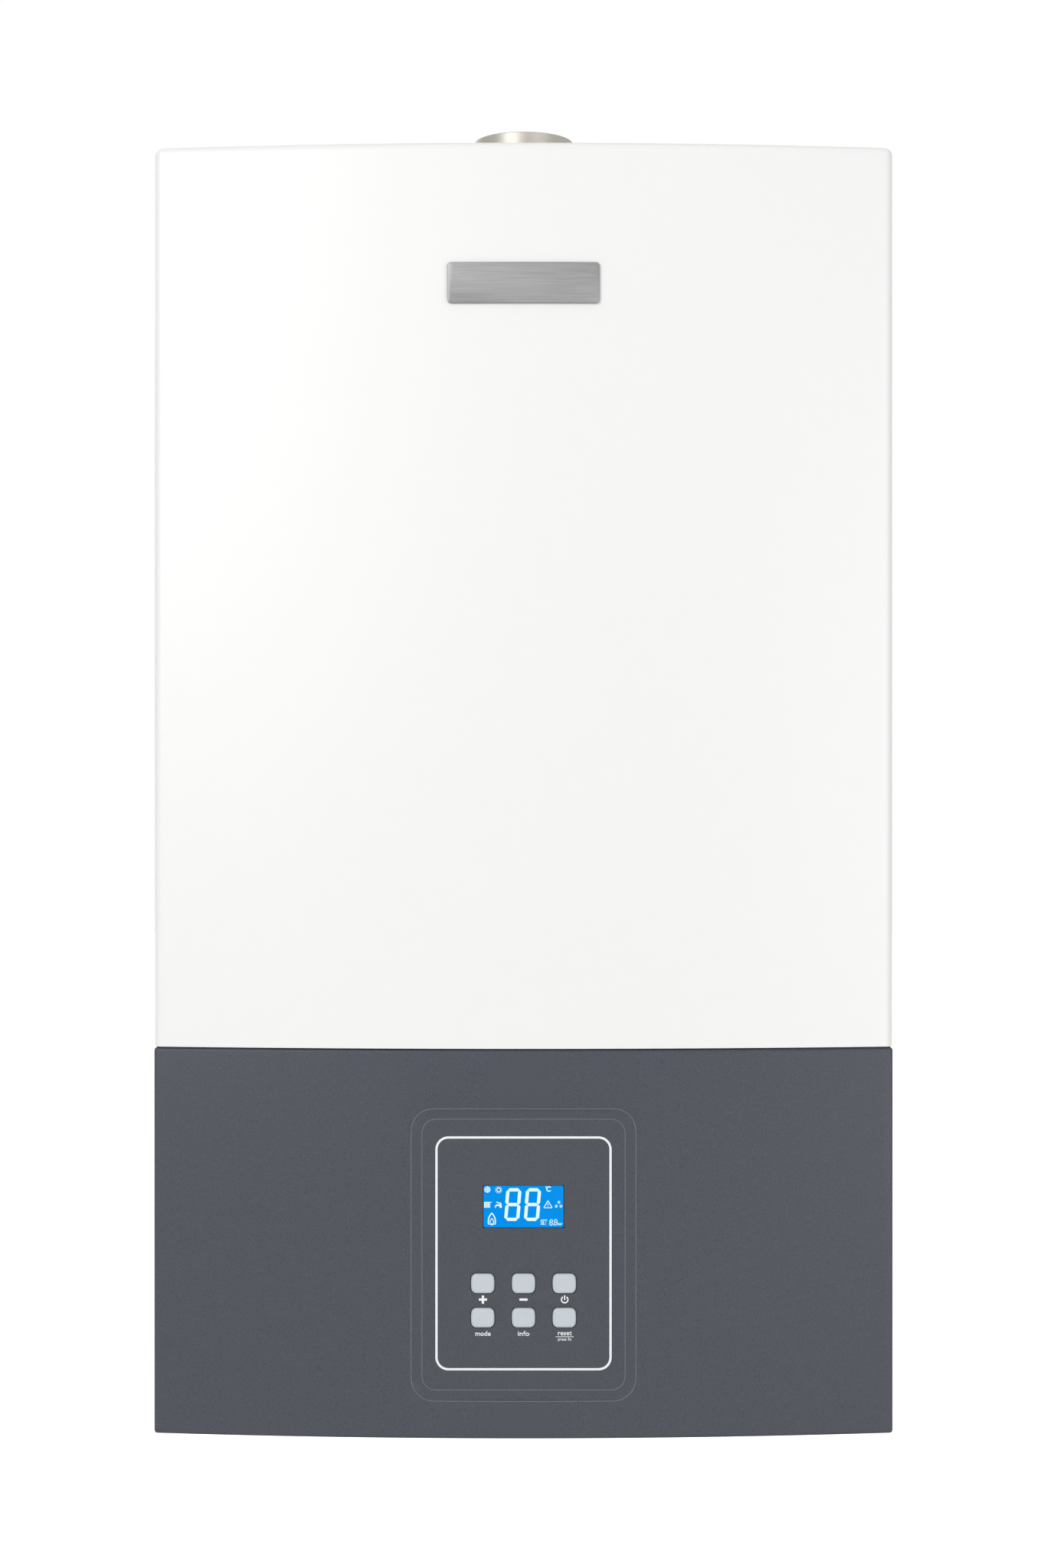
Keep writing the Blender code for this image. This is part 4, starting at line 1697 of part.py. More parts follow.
def build_air_switch():
    face = -INNER_HALF_WIDTH
    radius = SWITCH_RADIUS
    depth = SWITCH_DEPTH
    boss = radius * SWITCH_BOSS
    edge = radius * SWITCH_EDGE
    middle = depth / 2
    profile = [
        (0.0, depth), (boss, depth), (boss, depth - SWITCH_BOSS_HEIGHT), (edge, depth - SWITCH_SLOPE),
        (radius, middle + SWITCH_RIM), (radius, middle - SWITCH_RIM), (edge, SWITCH_FOOT), (edge, 0.0),
        (0.0, 0.0),
    ]
    place = (face, SWITCH_Y, SWITCH_Z)
    switch = turned_part("air_switch", profile, BLACK_PLASTIC, place, (1.0, 0.0, 0.0), 20)
    port_x = face + depth - SWITCH_PORT_LENGTH
    port_top = SWITCH_Z - radius * 0.6
    port_foot = SWITCH_Z - radius - SWITCH_PORT_LENGTH
    for side in (-1, 1):
        port_y = SWITCH_Y + side * SWITCH_PORT_PITCH
        port_start = (port_x, port_y, port_top)
        fuse(switch, rod_mesh(port_start, (port_x, port_y, port_foot), SWITCH_PORT_RADIUS, 10))


build_back_panel()
build_side_panels()
build_top_plate()
build_front_cover()
build_badge_plate()
build_flue_connection()
build_control_fascia()
build_display_window()
build_circuit_board()
build_buttons()
build_control_box()
build_hinge_brackets()
build_bottom_plate()
build_nipples()
build_cable_gland()
build_expansion_vessel()
build_burner()
build_combustion_chamber()
build_chamber_front()
build_chamber_brackets()
build_heat_exchanger()
build_flue_hood()
build_fan_outlet(*build_fan_housing())
build_fan_wheel()
build_fan_motor()
build_gas_valve()
build_gas_pipe()
build_gas_manifold()
build_electrode()
build_water_blocks()
build_pump_body()
build_pump_motor()
build_pump_wheel()
build_air_vent()
build_plate_exchanger()
build_diverter_motor()
build_risers()
build_vessel_pipe()
build_safety_valve()
build_safety_knob()
build_taps()
build_air_switch()
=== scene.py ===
from math import asin, atan2, cos, hypot, radians, sin, sqrt, tan, tau

import bmesh
import bpy
from mathutils import Matrix, Vector


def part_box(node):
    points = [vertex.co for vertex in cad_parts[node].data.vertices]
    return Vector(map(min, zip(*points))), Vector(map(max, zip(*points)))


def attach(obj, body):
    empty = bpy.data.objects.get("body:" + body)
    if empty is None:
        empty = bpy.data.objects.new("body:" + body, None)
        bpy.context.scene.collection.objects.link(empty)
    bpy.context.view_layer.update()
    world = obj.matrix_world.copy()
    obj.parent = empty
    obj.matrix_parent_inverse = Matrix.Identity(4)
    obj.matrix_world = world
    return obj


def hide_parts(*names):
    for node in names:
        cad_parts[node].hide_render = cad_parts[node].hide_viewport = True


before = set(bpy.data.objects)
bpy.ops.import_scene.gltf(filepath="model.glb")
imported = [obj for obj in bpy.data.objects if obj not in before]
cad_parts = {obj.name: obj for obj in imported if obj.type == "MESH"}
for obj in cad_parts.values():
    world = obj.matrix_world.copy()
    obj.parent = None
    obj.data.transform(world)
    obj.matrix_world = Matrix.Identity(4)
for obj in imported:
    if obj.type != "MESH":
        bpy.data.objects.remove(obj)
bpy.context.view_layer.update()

# Front cover. One sheet of steel, pressed so that its front bows forwards, with short
# returns at the sides and the top. It is powder coated white and hangs by its top return.

cover_low, cover_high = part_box("front_cover")
half_width = cover_high.x
front_bow = 0.0124
bow_steps = 64
cover_edge_radius = 0.0043
cover_sheet = 0.001
cover_flange = 0.010
corner_y = cover_low.y + front_bow
return_y = cover_high.y
bow_radius = (half_width ** 2 + front_bow ** 2) / (2 * front_bow)
bow_centre = cover_low.y + bow_radius


def rest():
    """Leaves edit mode with nothing selected."""
    if bpy.context.object and bpy.context.object.mode != "OBJECT":
        bpy.ops.object.mode_set(mode="OBJECT")
    bpy.ops.object.select_all(action="DESELECT")


def take(*objs):
    """Selects these pieces, the last one active."""
    rest()
    for obj in objs:
        obj.select_set(True)
    bpy.context.view_layer.objects.active = objs[-1]


def made(name):
    """Names the object that an operator has just made."""
    bpy.context.object.name = name
    return bpy.context.object


def edit(obj, kind, test=lambda item: True):
    """Opens a piece in edit mode with the verts, edges or faces that pass the test selected."""
    take(obj)
    bpy.ops.object.mode_set(mode="EDIT")
    bpy.ops.mesh.select_mode(type=kind)
    bpy.ops.mesh.select_all(action="DESELECT")
    mesh = bmesh.from_edit_mesh(obj.data)
    for item in {"VERT": mesh.verts, "EDGE": mesh.edges, "FACE": mesh.faces}[kind]:
        if test(item):
            item.select_set(True)
    mesh.select_flush_mode()
    bmesh.update_edit_mesh(obj.data)


def middle(edge):
    return (edge.verts[0].co + edge.verts[1].co) / 2


def runs_along(edge, axis):
    """True for an edge parallel to the X, Y or Z axis, given as 0, 1 or 2."""
    return abs((edge.verts[0].co - edge.verts[1].co).normalized()[axis]) > 0.99


def at_height(edge, z):
    return all(abs(vert.co.z - z) < 1e-6 for vert in edge.verts)


def apply_modifier(obj, kind, **settings):
    take(obj)
    step = obj.modifiers.new(kind.lower(), kind)
    for key, value in settings.items():
        setattr(step, key, value)
    bpy.ops.object.modifier_apply(modifier=step.name)


def smooth(obj, degrees=30.0):
    take(obj)
    bpy.ops.object.shade_smooth_by_angle(angle=radians(degrees))


def bow_y(x, inset=0.0):
    """The casing's front surface at x, or a surface the inset behind it."""
    return bow_centre - sqrt((bow_radius - inset) ** 2 - x ** 2)


def straight_edge(name, start, end):
    """One edge between two points, ready to be spun or extruded."""
    rest()
    bpy.ops.mesh.primitive_plane_add(size=1.0)
    obj = made(name)
    edit(obj, "VERT", lambda vert: vert.co.x > 0)
    bpy.ops.mesh.delete(type="VERT")
    rest()
    for vert, place in zip(obj.data.vertices, (start, end)):
        vert.co = place
    edit(obj, "EDGE")
    return obj


def bowed_sheet(name, half, inset, low, high, steps):
    """Spins an upright edge about the axis of the casing's bow."""
    edge_y = bow_y(half, inset)
    obj = straight_edge(name, (-half, edge_y, low), (-half, edge_y, high))
    sweep = 2 * asin(half / (bow_radius - inset))
    bpy.ops.mesh.spin(steps=steps, angle=sweep, center=(0.0, bow_centre, 0.0), axis=(0.0, 0.0, -1.0))
    rest()
    return obj


def add_returns(obj, depth_y):
    """Folds the two upright ends of a bowed sheet straight back to depth_y."""
    edge_y = max(vert.co.y for vert in obj.data.vertices)
    for side in (-1, 1):
        edit(obj, "EDGE", lambda edge: edge.is_boundary and runs_along(edge, 2)
             and middle(edge).x * side > 0)
        bpy.ops.mesh.extrude_edges_move(TRANSFORM_OT_translate={"value": (0.0, depth_y - edge_y, 0.0)})


def close_end(obj, z):
    """Fills the open end of a bowed sheet at height z with one flat face."""
    edit(obj, "EDGE", lambda edge: edge.is_boundary and at_height(edge, z))
    bpy.ops.mesh.edge_face_add()


def face_outwards(obj):
    edit(obj, "FACE")
    bpy.ops.mesh.normals_make_consistent(inside=False)
    rest()


def linear(hex_colour):
    """An sRGB hex colour as the linear colour that a shader takes."""
    values = [int(hex_colour[start:start + 2], 16) / 255 for start in (0, 2, 4)]
    return [v / 12.92 if v <= 0.04045 else ((v + 0.055) / 1.055) ** 2.4 for v in values] + [1.0]


def add_node(material, kind, settings=(), links=()):
    """Adds a node. A setting fills the socket of that name or number, or else the node's property."""
    node = material.node_tree.nodes.new("ShaderNode" + kind)
    for key, value in dict(settings).items():
        if isinstance(key, int) or key in node.inputs:
            node.inputs[key].default_value = value
        else:
            setattr(node, key, value)
    for socket, (source, output) in dict(links).items():
        material.node_tree.links.new(source.outputs[output], node.inputs[socket])
    return node


def new_material(name):
    material = bpy.data.materials.new(name)
    material.use_nodes = True
    material.node_tree.nodes.clear()
    return material


def surface(material, settings, links):
    """Ends a material with its shader and output."""
    shader = add_node(material, "BsdfPrincipled", settings, links)
    add_node(material, "OutputMaterial", links={"Surface": (shader, "BSDF")})
    material.diffuse_color = settings["Base Color"]
    return material


def finish(name, colours, shader, patterns, gloss=(), relief=(), contrast=(), follow=(0, 0, -1)):
    """A material whose colour, gloss and relief wander with fine noise patterns. A pattern is its
    scale, detail and stretch, and follow says by number which one each of the three goes by."""
    material = new_material(name)
    place = add_node(material, "TexCoord")
    noises = []
    for scale, detail, *stretch in patterns:
        drawn = add_node(material, "Mapping", {"Scale": stretch or (1.0, 1.0, 1.0)},
                         {"Vector": (place, "Object")})
        noises.append(add_node(material, "TexNoise", {"Scale": scale, "Detail": detail},
                               {"Vector": (drawn, "Vector")}))
    tone, shine, height = [(noises[number], "Fac") for number in follow]
    settings = {"Base Color": linear(colours[-1]), **shader}
    links = {}
    if contrast:
        sharper = add_node(material, "MapRange", {"From Min": contrast[0], "From Max": contrast[1]},
                           {"Value": tone})
        tone = (sharper, "Result")
    if len(colours) > 1:
        mixed = add_node(material, "Mix", {"data_type": "RGBA", 6: linear(colours[0]), 7: linear(colours[1])},
                         {"Factor": tone})
        links["Base Color"] = (mixed, 2)
        if "Emission Strength" in shader and "Emission Color" not in shader:
            links["Emission Color"] = (mixed, 2)
    if gloss:
        wander = add_node(material, "MapRange", {"To Min": gloss[0], "To Max": gloss[1]}, {"Value": shine})
        links["Roughness"] = (wander, "Result")
    if relief:
        bump = add_node(material, "Bump", {"Strength": relief[0], "Distance": relief[1]}, {"Height": height})
        links["Normal"] = (bump, "Normal")
    return surface(material, settings, links)


# Powder coat has a faint orange peel, about 1.5 mm from crest to crest, and a soft even gloss
def powder_coat(name, colour):
    return finish(name, (colour,), {"IOR": 1.5}, [(14.0, 3.0), (650.0, 2.0)], (0.30, 0.36), (0.05, 0.0002))


def paint(obj, material):
    obj.data.materials.clear()
    obj.data.materials.append(material)


def fit(obj, material, body, node=None):
    """Paints a piece and fixes it to its body, in the place of a CAD node where one is named."""
    paint(obj, material)
    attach(obj, body)
    if node:
        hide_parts(node)


white_powder_coat = powder_coat("white_powder_coat", "FAFAF9")

cover = bowed_sheet("cover_shell", half_width, 0.0, cover_low.z, cover_high.z, bow_steps)
add_returns(cover, return_y)
close_end(cover, cover_high.z)
face_outwards(cover)
edit(cover, "EDGE", lambda edge: not edge.is_boundary and (at_height(edge, cover_high.z) or (
    runs_along(edge, 2) and abs(abs(middle(edge).x) - half_width) < 1e-6)))
bpy.ops.mesh.bevel(offset=cover_edge_radius, segments=6, affect="EDGES")

# The foot is folded in and back, and its flange ends level with the returns
edit(cover, "EDGE", lambda edge: edge.is_boundary and at_height(edge, cover_low.z))
bpy.ops.mesh.extrude_edges_move(TRANSFORM_OT_translate={"value": (0.0, 0.0, 0.0)})
bpy.ops.transform.resize(value=(1 - cover_flange / half_width, 1.0, 1.0), center_override=(0.0, 0.0, 0.0))
bpy.ops.transform.translate(value=(0.0, cover_flange * 0.8, 0.0))
edit(cover, "VERT", lambda vert: vert.co.y > return_y)
bpy.ops.transform.resize(value=(1.0, 0.0, 1.0), center_override=(0.0, return_y, 0.0))
apply_modifier(cover, "SOLIDIFY", thickness=cover_sheet, offset=-1.0)
smooth(cover)
fit(cover, white_powder_coat, "front_cover", "front_cover")

# Control panel front. A bowed moulding in dark metallic ABS with 2.5 mm walls. The control
# field in its middle is sunk with a sloping rim. It tilts forwards on pins at its lower edge.

panel_low, panel_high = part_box("control_fascia")
panel_top = panel_high.z + 0.0004
panel_wall = 0.0025
panel_edge_radius = 0.0018
pin_inset = 0.005
pivot_y, pivot_z = return_y - pin_inset, panel_low.z + pin_inset
corner_radius = 0.0049
top_return, trim_height, trim_spare = 0.008, 0.005, 0.010
notch_near, notch_far, notch_front, notch_back = 0.152, 0.168, 0.011, 0.002
field_width, field_height, field_corner = 0.1212, 0.1577, 0.012
field_slope = 0.0058
field_y = cover_low.y + 0.0016
field_z = panel_low.z + 0.0993
pad_y = field_y + 0.0037
pad_margin = 0.001
cut_spare = 0.003
gap = 0.0003
window_low, window_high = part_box("display_window")
button_names = ["button_" + str(number) for number in range(1, 7)]
button_width, button_height, button_swell, button_corner = 0.0128, 0.01065, 0.0007, 0.0022


def block(name, low, high):
    """A box between two corners, to start a piece or to cut with."""
    rest()
    centre = (Vector(low) + Vector(high)) / 2
    bpy.ops.mesh.primitive_cube_add(size=1.0, location=centre, scale=Vector(high) - Vector(low))
    bpy.ops.object.transform_apply()
    return made(name)


def rod(name, start, end, radius, sides=24):
    """A round bar between two points, to start a piece or to cut with."""
    rest()
    span = Vector(end) - Vector(start)
    turn = Vector((0.0, 0.0, 1.0)).rotation_difference(span).to_euler()
    bpy.ops.mesh.primitive_cylinder_add(vertices=sides, radius=radius, depth=span.length,
                                        location=(Vector(start) + Vector(end)) / 2, rotation=turn)
    bpy.ops.object.transform_apply()
    return made(name)


def carve(obj, tool, operation="DIFFERENCE"):
    apply_modifier(obj, "BOOLEAN", operation=operation, object=tool, solver="EXACT")
    bpy.data.objects.remove(tool, do_unlink=True)


def soften(obj, width, segments=2, degrees=30.0):
    """Rounds every edge that is sharper than the angle."""
    apply_modifier(obj, "BEVEL", width=width, segments=segments, limit_method="ANGLE",
                   angle_limit=radians(degrees))


def upright_plate(name, width, height, corner, centre_x, y, centre_z, segments=8):
    """A thin upright plate with round corners that faces forwards."""
    rest()
    bpy.ops.mesh.primitive_plane_add(size=1.0, rotation=(radians(90.0), 0.0, 0.0),
                                     location=(centre_x, y, centre_z))
    obj = made(name)
    obj.scale = (width, height, 1.0)
    bpy.ops.object.transform_apply()
    edit(obj, "VERT")
    bpy.ops.mesh.bevel(offset=corner, segments=segments, affect="VERTICES")
    rest()
    return obj


def drawn_back(obj, distance):
    """Gives an upright plate its depth towards +Y."""
    edit(obj, "FACE")
    bpy.ops.mesh.extrude_region_move(TRANSFORM_OT_translate={"value": (0.0, distance, 0.0)})
    face_outwards(obj)


def join(objs, name):
    take(*objs)
    if len(objs) > 1:
        bpy.ops.object.join()
    return made(name)


# Metallic ABS is a dark grey moulding with fine bright flakes, drawn at 0.5 mm so that they show
metallic_abs = finish("metallic_abs", ("33363F", "474A54"),
                      {"Roughness": 0.45, "IOR": 1.54, "Specular IOR Level": 0.4}, [(2000.0, 1.0)],
                      relief=(0.08, 0.0001), contrast=(0.30, 0.70))

panel = bowed_sheet("fascia_shell", half_width, 0.0, panel_low.z, panel_top, bow_steps)
add_returns(panel, return_y)
close_end(panel, panel_top)
close_end(panel, panel_low.z)
face_outwards(panel)
edit(panel, "EDGE", lambda edge: not edge.is_boundary and middle(edge).y < return_y - 1e-4
     and edge.calc_face_angle(0.0) > radians(40.0))
bpy.ops.mesh.bevel(offset=panel_edge_radius, segments=5, affect="EDGES")
apply_modifier(panel, "SOLIDIFY", thickness=panel_wall, offset=-1.0)

# The top return is short, and the bottom one ends at the pivot
reach = half_width - panel_wall
carve(panel, block("top_trim", (-reach, corner_y + top_return, panel_top - trim_height),
                   (reach, 0.0, panel_top + trim_spare)))
carve(panel, block("foot_trim", (-reach, pivot_y, panel_low.z - trim_spare),
                   (reach, 0.0, panel_low.z + trim_height)))

# The rear lower corners are round about the pins, so that they clear the side panels
edit(panel, "EDGE", lambda edge: runs_along(edge, 0) and abs(middle(edge).y - return_y) < 1e-5
     and abs(middle(edge).z - panel_low.z) < 1e-5)
bpy.ops.mesh.bevel(offset=corner_radius, segments=8, affect="EDGES", clamp_overlap=False)
rest()
for vert in panel.data.vertices:
    swing = Vector((0.0, vert.co.y - pivot_y, vert.co.z - pivot_z))
    if swing.y > 0 and swing.z < 0 and swing.length > corner_radius + 0.0002:
        vert.co += swing * (corner_radius / swing.length - 1.0)
for left, right in ((-notch_far, -notch_near), (notch_near, notch_far)):
    carve(panel, block("hinge_notch", (left, pivot_y - notch_front, panel_low.z - trim_spare),
                       (right, pivot_y + notch_back, panel_low.z + trim_height)))

# The pad behind the field, then the sunk field itself and the display's opening
pad_half = field_width / 2 + pad_margin
carve(panel, block("field_pad", (-pad_half, bow_y(pad_half, panel_wall / 2), field_z - field_height / 2),
                   (pad_half, pad_y, field_z + field_height / 2)), "UNION")
rim_y = bow_y(field_width / 2)
sink = upright_plate("field_cutter", field_width, field_height, field_corner, 0.0, rim_y, field_z, 10)
edit(sink, "FACE")
bpy.ops.mesh.flip_normals()
bpy.ops.mesh.inset(thickness=field_slope, depth=field_y - rim_y)
edit(sink, "EDGE", lambda edge: edge.is_boundary)
bpy.ops.mesh.extrude_edges_move(TRANSFORM_OT_translate={"value": (0.0, -2 * cut_spare, 0.0)})
bpy.ops.mesh.edge_face_add()
face_outwards(sink)
carve(panel, sink)
carve(panel, block("window_cutter", (window_low.x - gap, field_y - cut_spare, window_low.z - gap),
                   (window_high.x + gap, pad_y + cut_spare, window_high.z + gap)))


def button_outline(name, width, height, y, swell, corner):
    """The barrel shape of a button: flat top and bottom, and sides that swell."""
    obj = upright_plate(name, width - 2 * swell, height, corner, 0.0, y, 0.0, 5)
    edit(obj, "EDGE", lambda edge: runs_along(edge, 2))
    bpy.ops.mesh.subdivide(number_cuts=5)
    rest()
    for row in sorted({round(vert.co.z, 6) for vert in obj.data.vertices}):
        edge_x = max(vert.co.x for vert in obj.data.vertices if abs(vert.co.z - row) < 1e-6)
        wider = 1 + swell * (1 - (2 * row / height) ** 2) / edge_x
        edit(obj, "VERT", lambda vert: abs(vert.co.z - row) < 2e-6)
        bpy.ops.transform.resize(value=(wider, 1.0, 1.0), center_override=(0.0, y, row))
        rest()
    return obj


def moved(obj, offset):
    """Shifts a piece and keeps its origin at the world's."""
    take(obj)
    obj.location = offset
    bpy.ops.object.transform_apply()
    return obj


def copied(obj, name):
    take(obj)
    bpy.ops.object.duplicate()
    return made(name)


def seen_place(node):
    """The middle of a CAD node as it is seen from the front, as an offset."""
    low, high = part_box(node)
    return ((low.x + high.x) / 2, 0.0, (low.z + high.z) / 2)


button_hole = button_outline("button_hole", button_width + 2 * gap, button_height + 2 * gap,
                             field_y - cut_spare, button_swell, button_corner)
drawn_back(button_hole, pad_y - field_y + 2 * cut_spare)
for name in button_names:
    carve(panel, moved(copied(button_hole, name + "_hole"), seen_place(name)))
bpy.data.objects.remove(button_hole, do_unlink=True)
soften(panel, 0.00018)
smooth(panel)
fit(panel, metallic_abs, "control_panel", "control_fascia")

# Pressed outlines. Two fine raised lines follow the rim and the floor of the control field.
# They are moulded with the panel, and are painted a paler grey all over as a painted highlight.

outline_radius = 0.00022
outlines = {"outer": (field_width, field_height, field_corner), "inner": (0.1096, 0.1462, 0.0075)}

# The beads' ABS is painted paler than the panel as a painted highlight, and it is a little glossier
painted_highlight_abs = finish("painted_highlight_abs", ("62656E", "7C8088"), {"Roughness": 0.36, "IOR": 1.54},
                       [(900.0, 2.0)])


def pressed_outline(name, width, height, corner):
    """A fine bead along a rounded rectangle, laid onto the panel from the front."""
    line = upright_plate(name, width, height, corner, 0.0, panel_low.y - 0.002, field_z, 8)
    edit(line, "EDGE")
    bpy.ops.mesh.delete(type="ONLY_FACE")
    edit(line, "EDGE", lambda edge: edge.calc_length() > 0.02)
    bpy.ops.mesh.subdivide(number_cuts=20)
    apply_modifier(line, "SHRINKWRAP", wrap_method="PROJECT", use_project_y=True,
                   use_positive_direction=True, use_negative_direction=True, target=panel)
    take(line)
    bpy.ops.object.convert(target="CURVE")
    line = bpy.context.object
    line.data.bevel_depth = outline_radius
    line.data.bevel_resolution = 3
    bpy.ops.object.convert(target="MESH")
    smooth(bpy.context.object, 60.0)
    return bpy.context.object


# Each bead is painted in the paler ABS, a painted highlight along the field's outlines
for place, sizes in outlines.items():
    fit(pressed_outline("field_outline_" + place, *sizes), painted_highlight_abs, "control_panel")

# Printing on the control field: a frame, and the plus, minus and power marks beside the buttons.
# It is white screen ink, a film of about 0.04 mm on the moulding.

ink_depth = 0.00004
ink_line = 0.0012
frame_width, frame_height, frame_corner = 0.0951, 0.1263, 0.0070
frame_z = panel_low.z + 0.09995

# Screen ink lies matt and a little uneven, so that the moulding greys it in places
print_ink = finish("white_screen_ink", ("F0F2F5", "FFFFFF"), {"Roughness": 0.5, "IOR": 1.5}, [(1200.0, 2.0)])


def bar(start, end, width, y):
    """One straight printed stroke between two points of the field, given as x and z."""
    rest()
    middle_x, middle_z = (start[0] + end[0]) / 2, (start[1] + end[1]) / 2
    length = hypot(end[0] - start[0], end[1] - start[1])
    slant = atan2(end[1] - start[1], end[0] - start[0])
    bpy.ops.mesh.primitive_plane_add(size=1.0, location=(middle_x, y, middle_z),
                                     rotation=(radians(90.0), -slant, 0.0))
    bpy.context.object.scale = (length, width, 1.0)
    bpy.ops.object.transform_apply()
    return bpy.context.object


def arc(centre, radius, width, y, start=0.0, end=360.0, steps=28):
    """One bent printed stroke about a point of the field, with its angles from +X towards +Z."""
    pivot = Vector((centre[0], y, centre[1]))
    outwards = Vector((cos(radians(start)), 0.0, sin(radians(start))))
    inner, outer = radius - width / 2, radius + width / 2
    obj = straight_edge("arc", pivot + outwards * inner, pivot + outwards * outer)
    bpy.ops.mesh.spin(steps=steps, angle=radians(end - start), center=pivot, axis=(0.0, 1.0, 0.0))
    edit(obj, "VERT")
    bpy.ops.mesh.remove_doubles(threshold=1e-6)
    rest()
    return obj


def laid_on(parts, name, depth, material):
    """Joins strokes into one mark with a thickness, facing forwards, on the control panel."""
    mark = join(parts, name)
    edit(mark, "FACE", lambda face: face.normal.y > 0)
    bpy.ops.mesh.flip_normals()
    apply_modifier(mark, "SOLIDIFY", thickness=depth, offset=1.0)
    fit(mark, material, "control_panel")
    return mark


def printed(parts, name):
    return laid_on(parts, name, ink_depth, print_ink)


ink_frame = upright_plate("printed_frame", frame_width, frame_height, frame_corner, 0.0, field_y, frame_z, 10)
edit(ink_frame, "FACE")
bpy.ops.mesh.inset(thickness=ink_line, depth=0.0)
bpy.ops.mesh.delete(type="FACE")
printed([ink_frame], "printed_frame")

# The marks stand on two levels, under the upper and the lower buttons
plus_x, minus_x, power_x = -0.0219, 0.0, 0.0222
upper_mark_z = panel_low.z + 0.07500576
lower_mark_z = panel_low.z + 0.0565536
stroke, arm = 0.00125, 0.0022
power_radius, power_ring, power_bar = 0.00175, 0.00068, 0.0007
plus_bars = [((plus_x - arm, upper_mark_z), (plus_x + arm, upper_mark_z))]
plus_bars += [((plus_x, upper_mark_z + side * stroke / 2), (plus_x, upper_mark_z + side * arm))
              for side in (1, -1)]
printed([bar(start, end, stroke, field_y) for start, end in plus_bars], "plus_mark")
printed([bar((minus_x - arm, upper_mark_z), (minus_x + arm, upper_mark_z), stroke, field_y)], "minus_mark")
printed([arc((power_x, upper_mark_z), power_radius, power_ring, field_y, 125.0, 415.0),
         bar((power_x, upper_mark_z - 0.0002), (power_x, upper_mark_z + 0.0023), power_bar, field_y)],
        "power_mark")

# Display. A clear window over a blue backlit liquid crystal panel, level with the field's floor.
# It is set in its opening from behind, flush with the moulding.

window_corner = 0.0008

# The lit panel glows an even blue through clear acrylic, which is nearly as glossy as glass
display_blue = finish("backlit_display", ("0063A8", "0070BC"), {
    "Roughness": 0.14, "IOR": 1.49, "Specular IOR Level": 0.03, "Emission Color": linear("0095EF"),
    "Emission Strength": 0.5}, [(60.0, 1.0)])

window_x = (window_low.x + window_high.x) / 2
window_z = (window_low.z + window_high.z) / 2
window = upright_plate("display_glass", window_high.x - window_low.x, window_high.z - window_low.z,
                       window_corner, window_x, window_low.y, window_z, 4)
drawn_back(window, window_high.y - window_low.y)
soften(window, 0.0002, degrees=40.0)
smooth(window)
fit(window, display_blue, "control_panel", "display_window")

# Light segments of the display. Two large digits, a small figure and plain pictograms. They are
# clear areas of the liquid crystal, through which the backlight shows nearly white.

segment_gap = 0.00012
digit_lean = 0.066
segment_depth = 0.00003
segment_y = window_low.y
mm = 0.001

# A clear area of liquid crystal lets a greenish white through
lcd_light = finish("clear_liquid_crystal", ("D2F6EC", "E6FFF6"),
                   {"Roughness": 0.3, "IOR": 1.49, "Emission Strength": 0.12}, [(180.0, 1.0)])


def on_window(x, z):
    """A point of the display, given in millimetres from its middle."""
    return (window_x + x * mm, window_z + z * mm)


def mark_line(start, end, width):
    return bar(on_window(*start), on_window(*end), width * mm, segment_y)


def mark_lines(*rows):
    """Strokes given as rows of both ends and the width."""
    return [mark_line((x, z), (end_x, end_z), width) for x, z, end_x, end_z, width in rows]


def mark_ring(centre, radius, width, start=0.0, end=360.0, steps=20):
    return arc(on_window(*centre), radius * mm, width * mm, segment_y, start, end, steps)


def star(centre, inner, outer, width, arms):
    """Strokes that stand around a point like rays."""
    strokes = []
    for arm in range(arms):
        angle = radians(90.0 + 360.0 * arm / arms)
        across, up = cos(angle), sin(angle)
        strokes.append(mark_line((centre[0] + inner * across, centre[1] + inner * up),
                                 (centre[0] + outer * across, centre[1] + outer * up), width))
    return strokes


def digit_segments(centre, width, height, stroke):
    """The seven strokes of a leaning figure eight, each with pointed ends."""
    half, rise = (width - stroke) / 2, (height - stroke) / 2
    levels, sides = (rise, 0.0, -rise), (-half, half)
    strokes = []
    ends = [((-half, level), (half, level)) for level in levels]
    ends += [((side, top), (side, foot)) for side in sides for top, foot in zip(levels, levels[1:])]
    for start, end in ends:
        start, end = Vector(start), Vector(end)
        trim = (end - start).normalized() * (segment_gap / mm)
        for point in (start, end):
            point.x += digit_lean * point.y
        start, end = start + trim, end - trim
        line = mark_line((centre[0] + start.x, centre[1] + start.y), (centre[0] + end.x, centre[1] + end.y),
                         stroke)
        edit(line, "EDGE", lambda edge: edge.calc_length() < stroke * mm * 1.1)
        bpy.ops.mesh.subdivide(number_cuts=1)
        heart = sum((vert.co for vert in line.data.vertices), Vector()) / len(line.data.vertices)
        run = Vector((end.x - start.x, 0.0, end.y - start.y)).normalized()
        edit(line, "VERT", lambda vert: (vert.co - heart).cross(run).length > stroke * mm / 4)
        shorter = 1 - stroke / (end - start).length
        flat = abs(run.x) > 0.5
        bpy.ops.transform.resize(value=(shorter if flat else 1.0, 1.0, 1.0 if flat else shorter),
                                 center_override=heart)
        rest()
        strokes.append(line)
    return strokes


def lit(strokes, name):
    return laid_on(strokes, name, segment_depth, lcd_light)


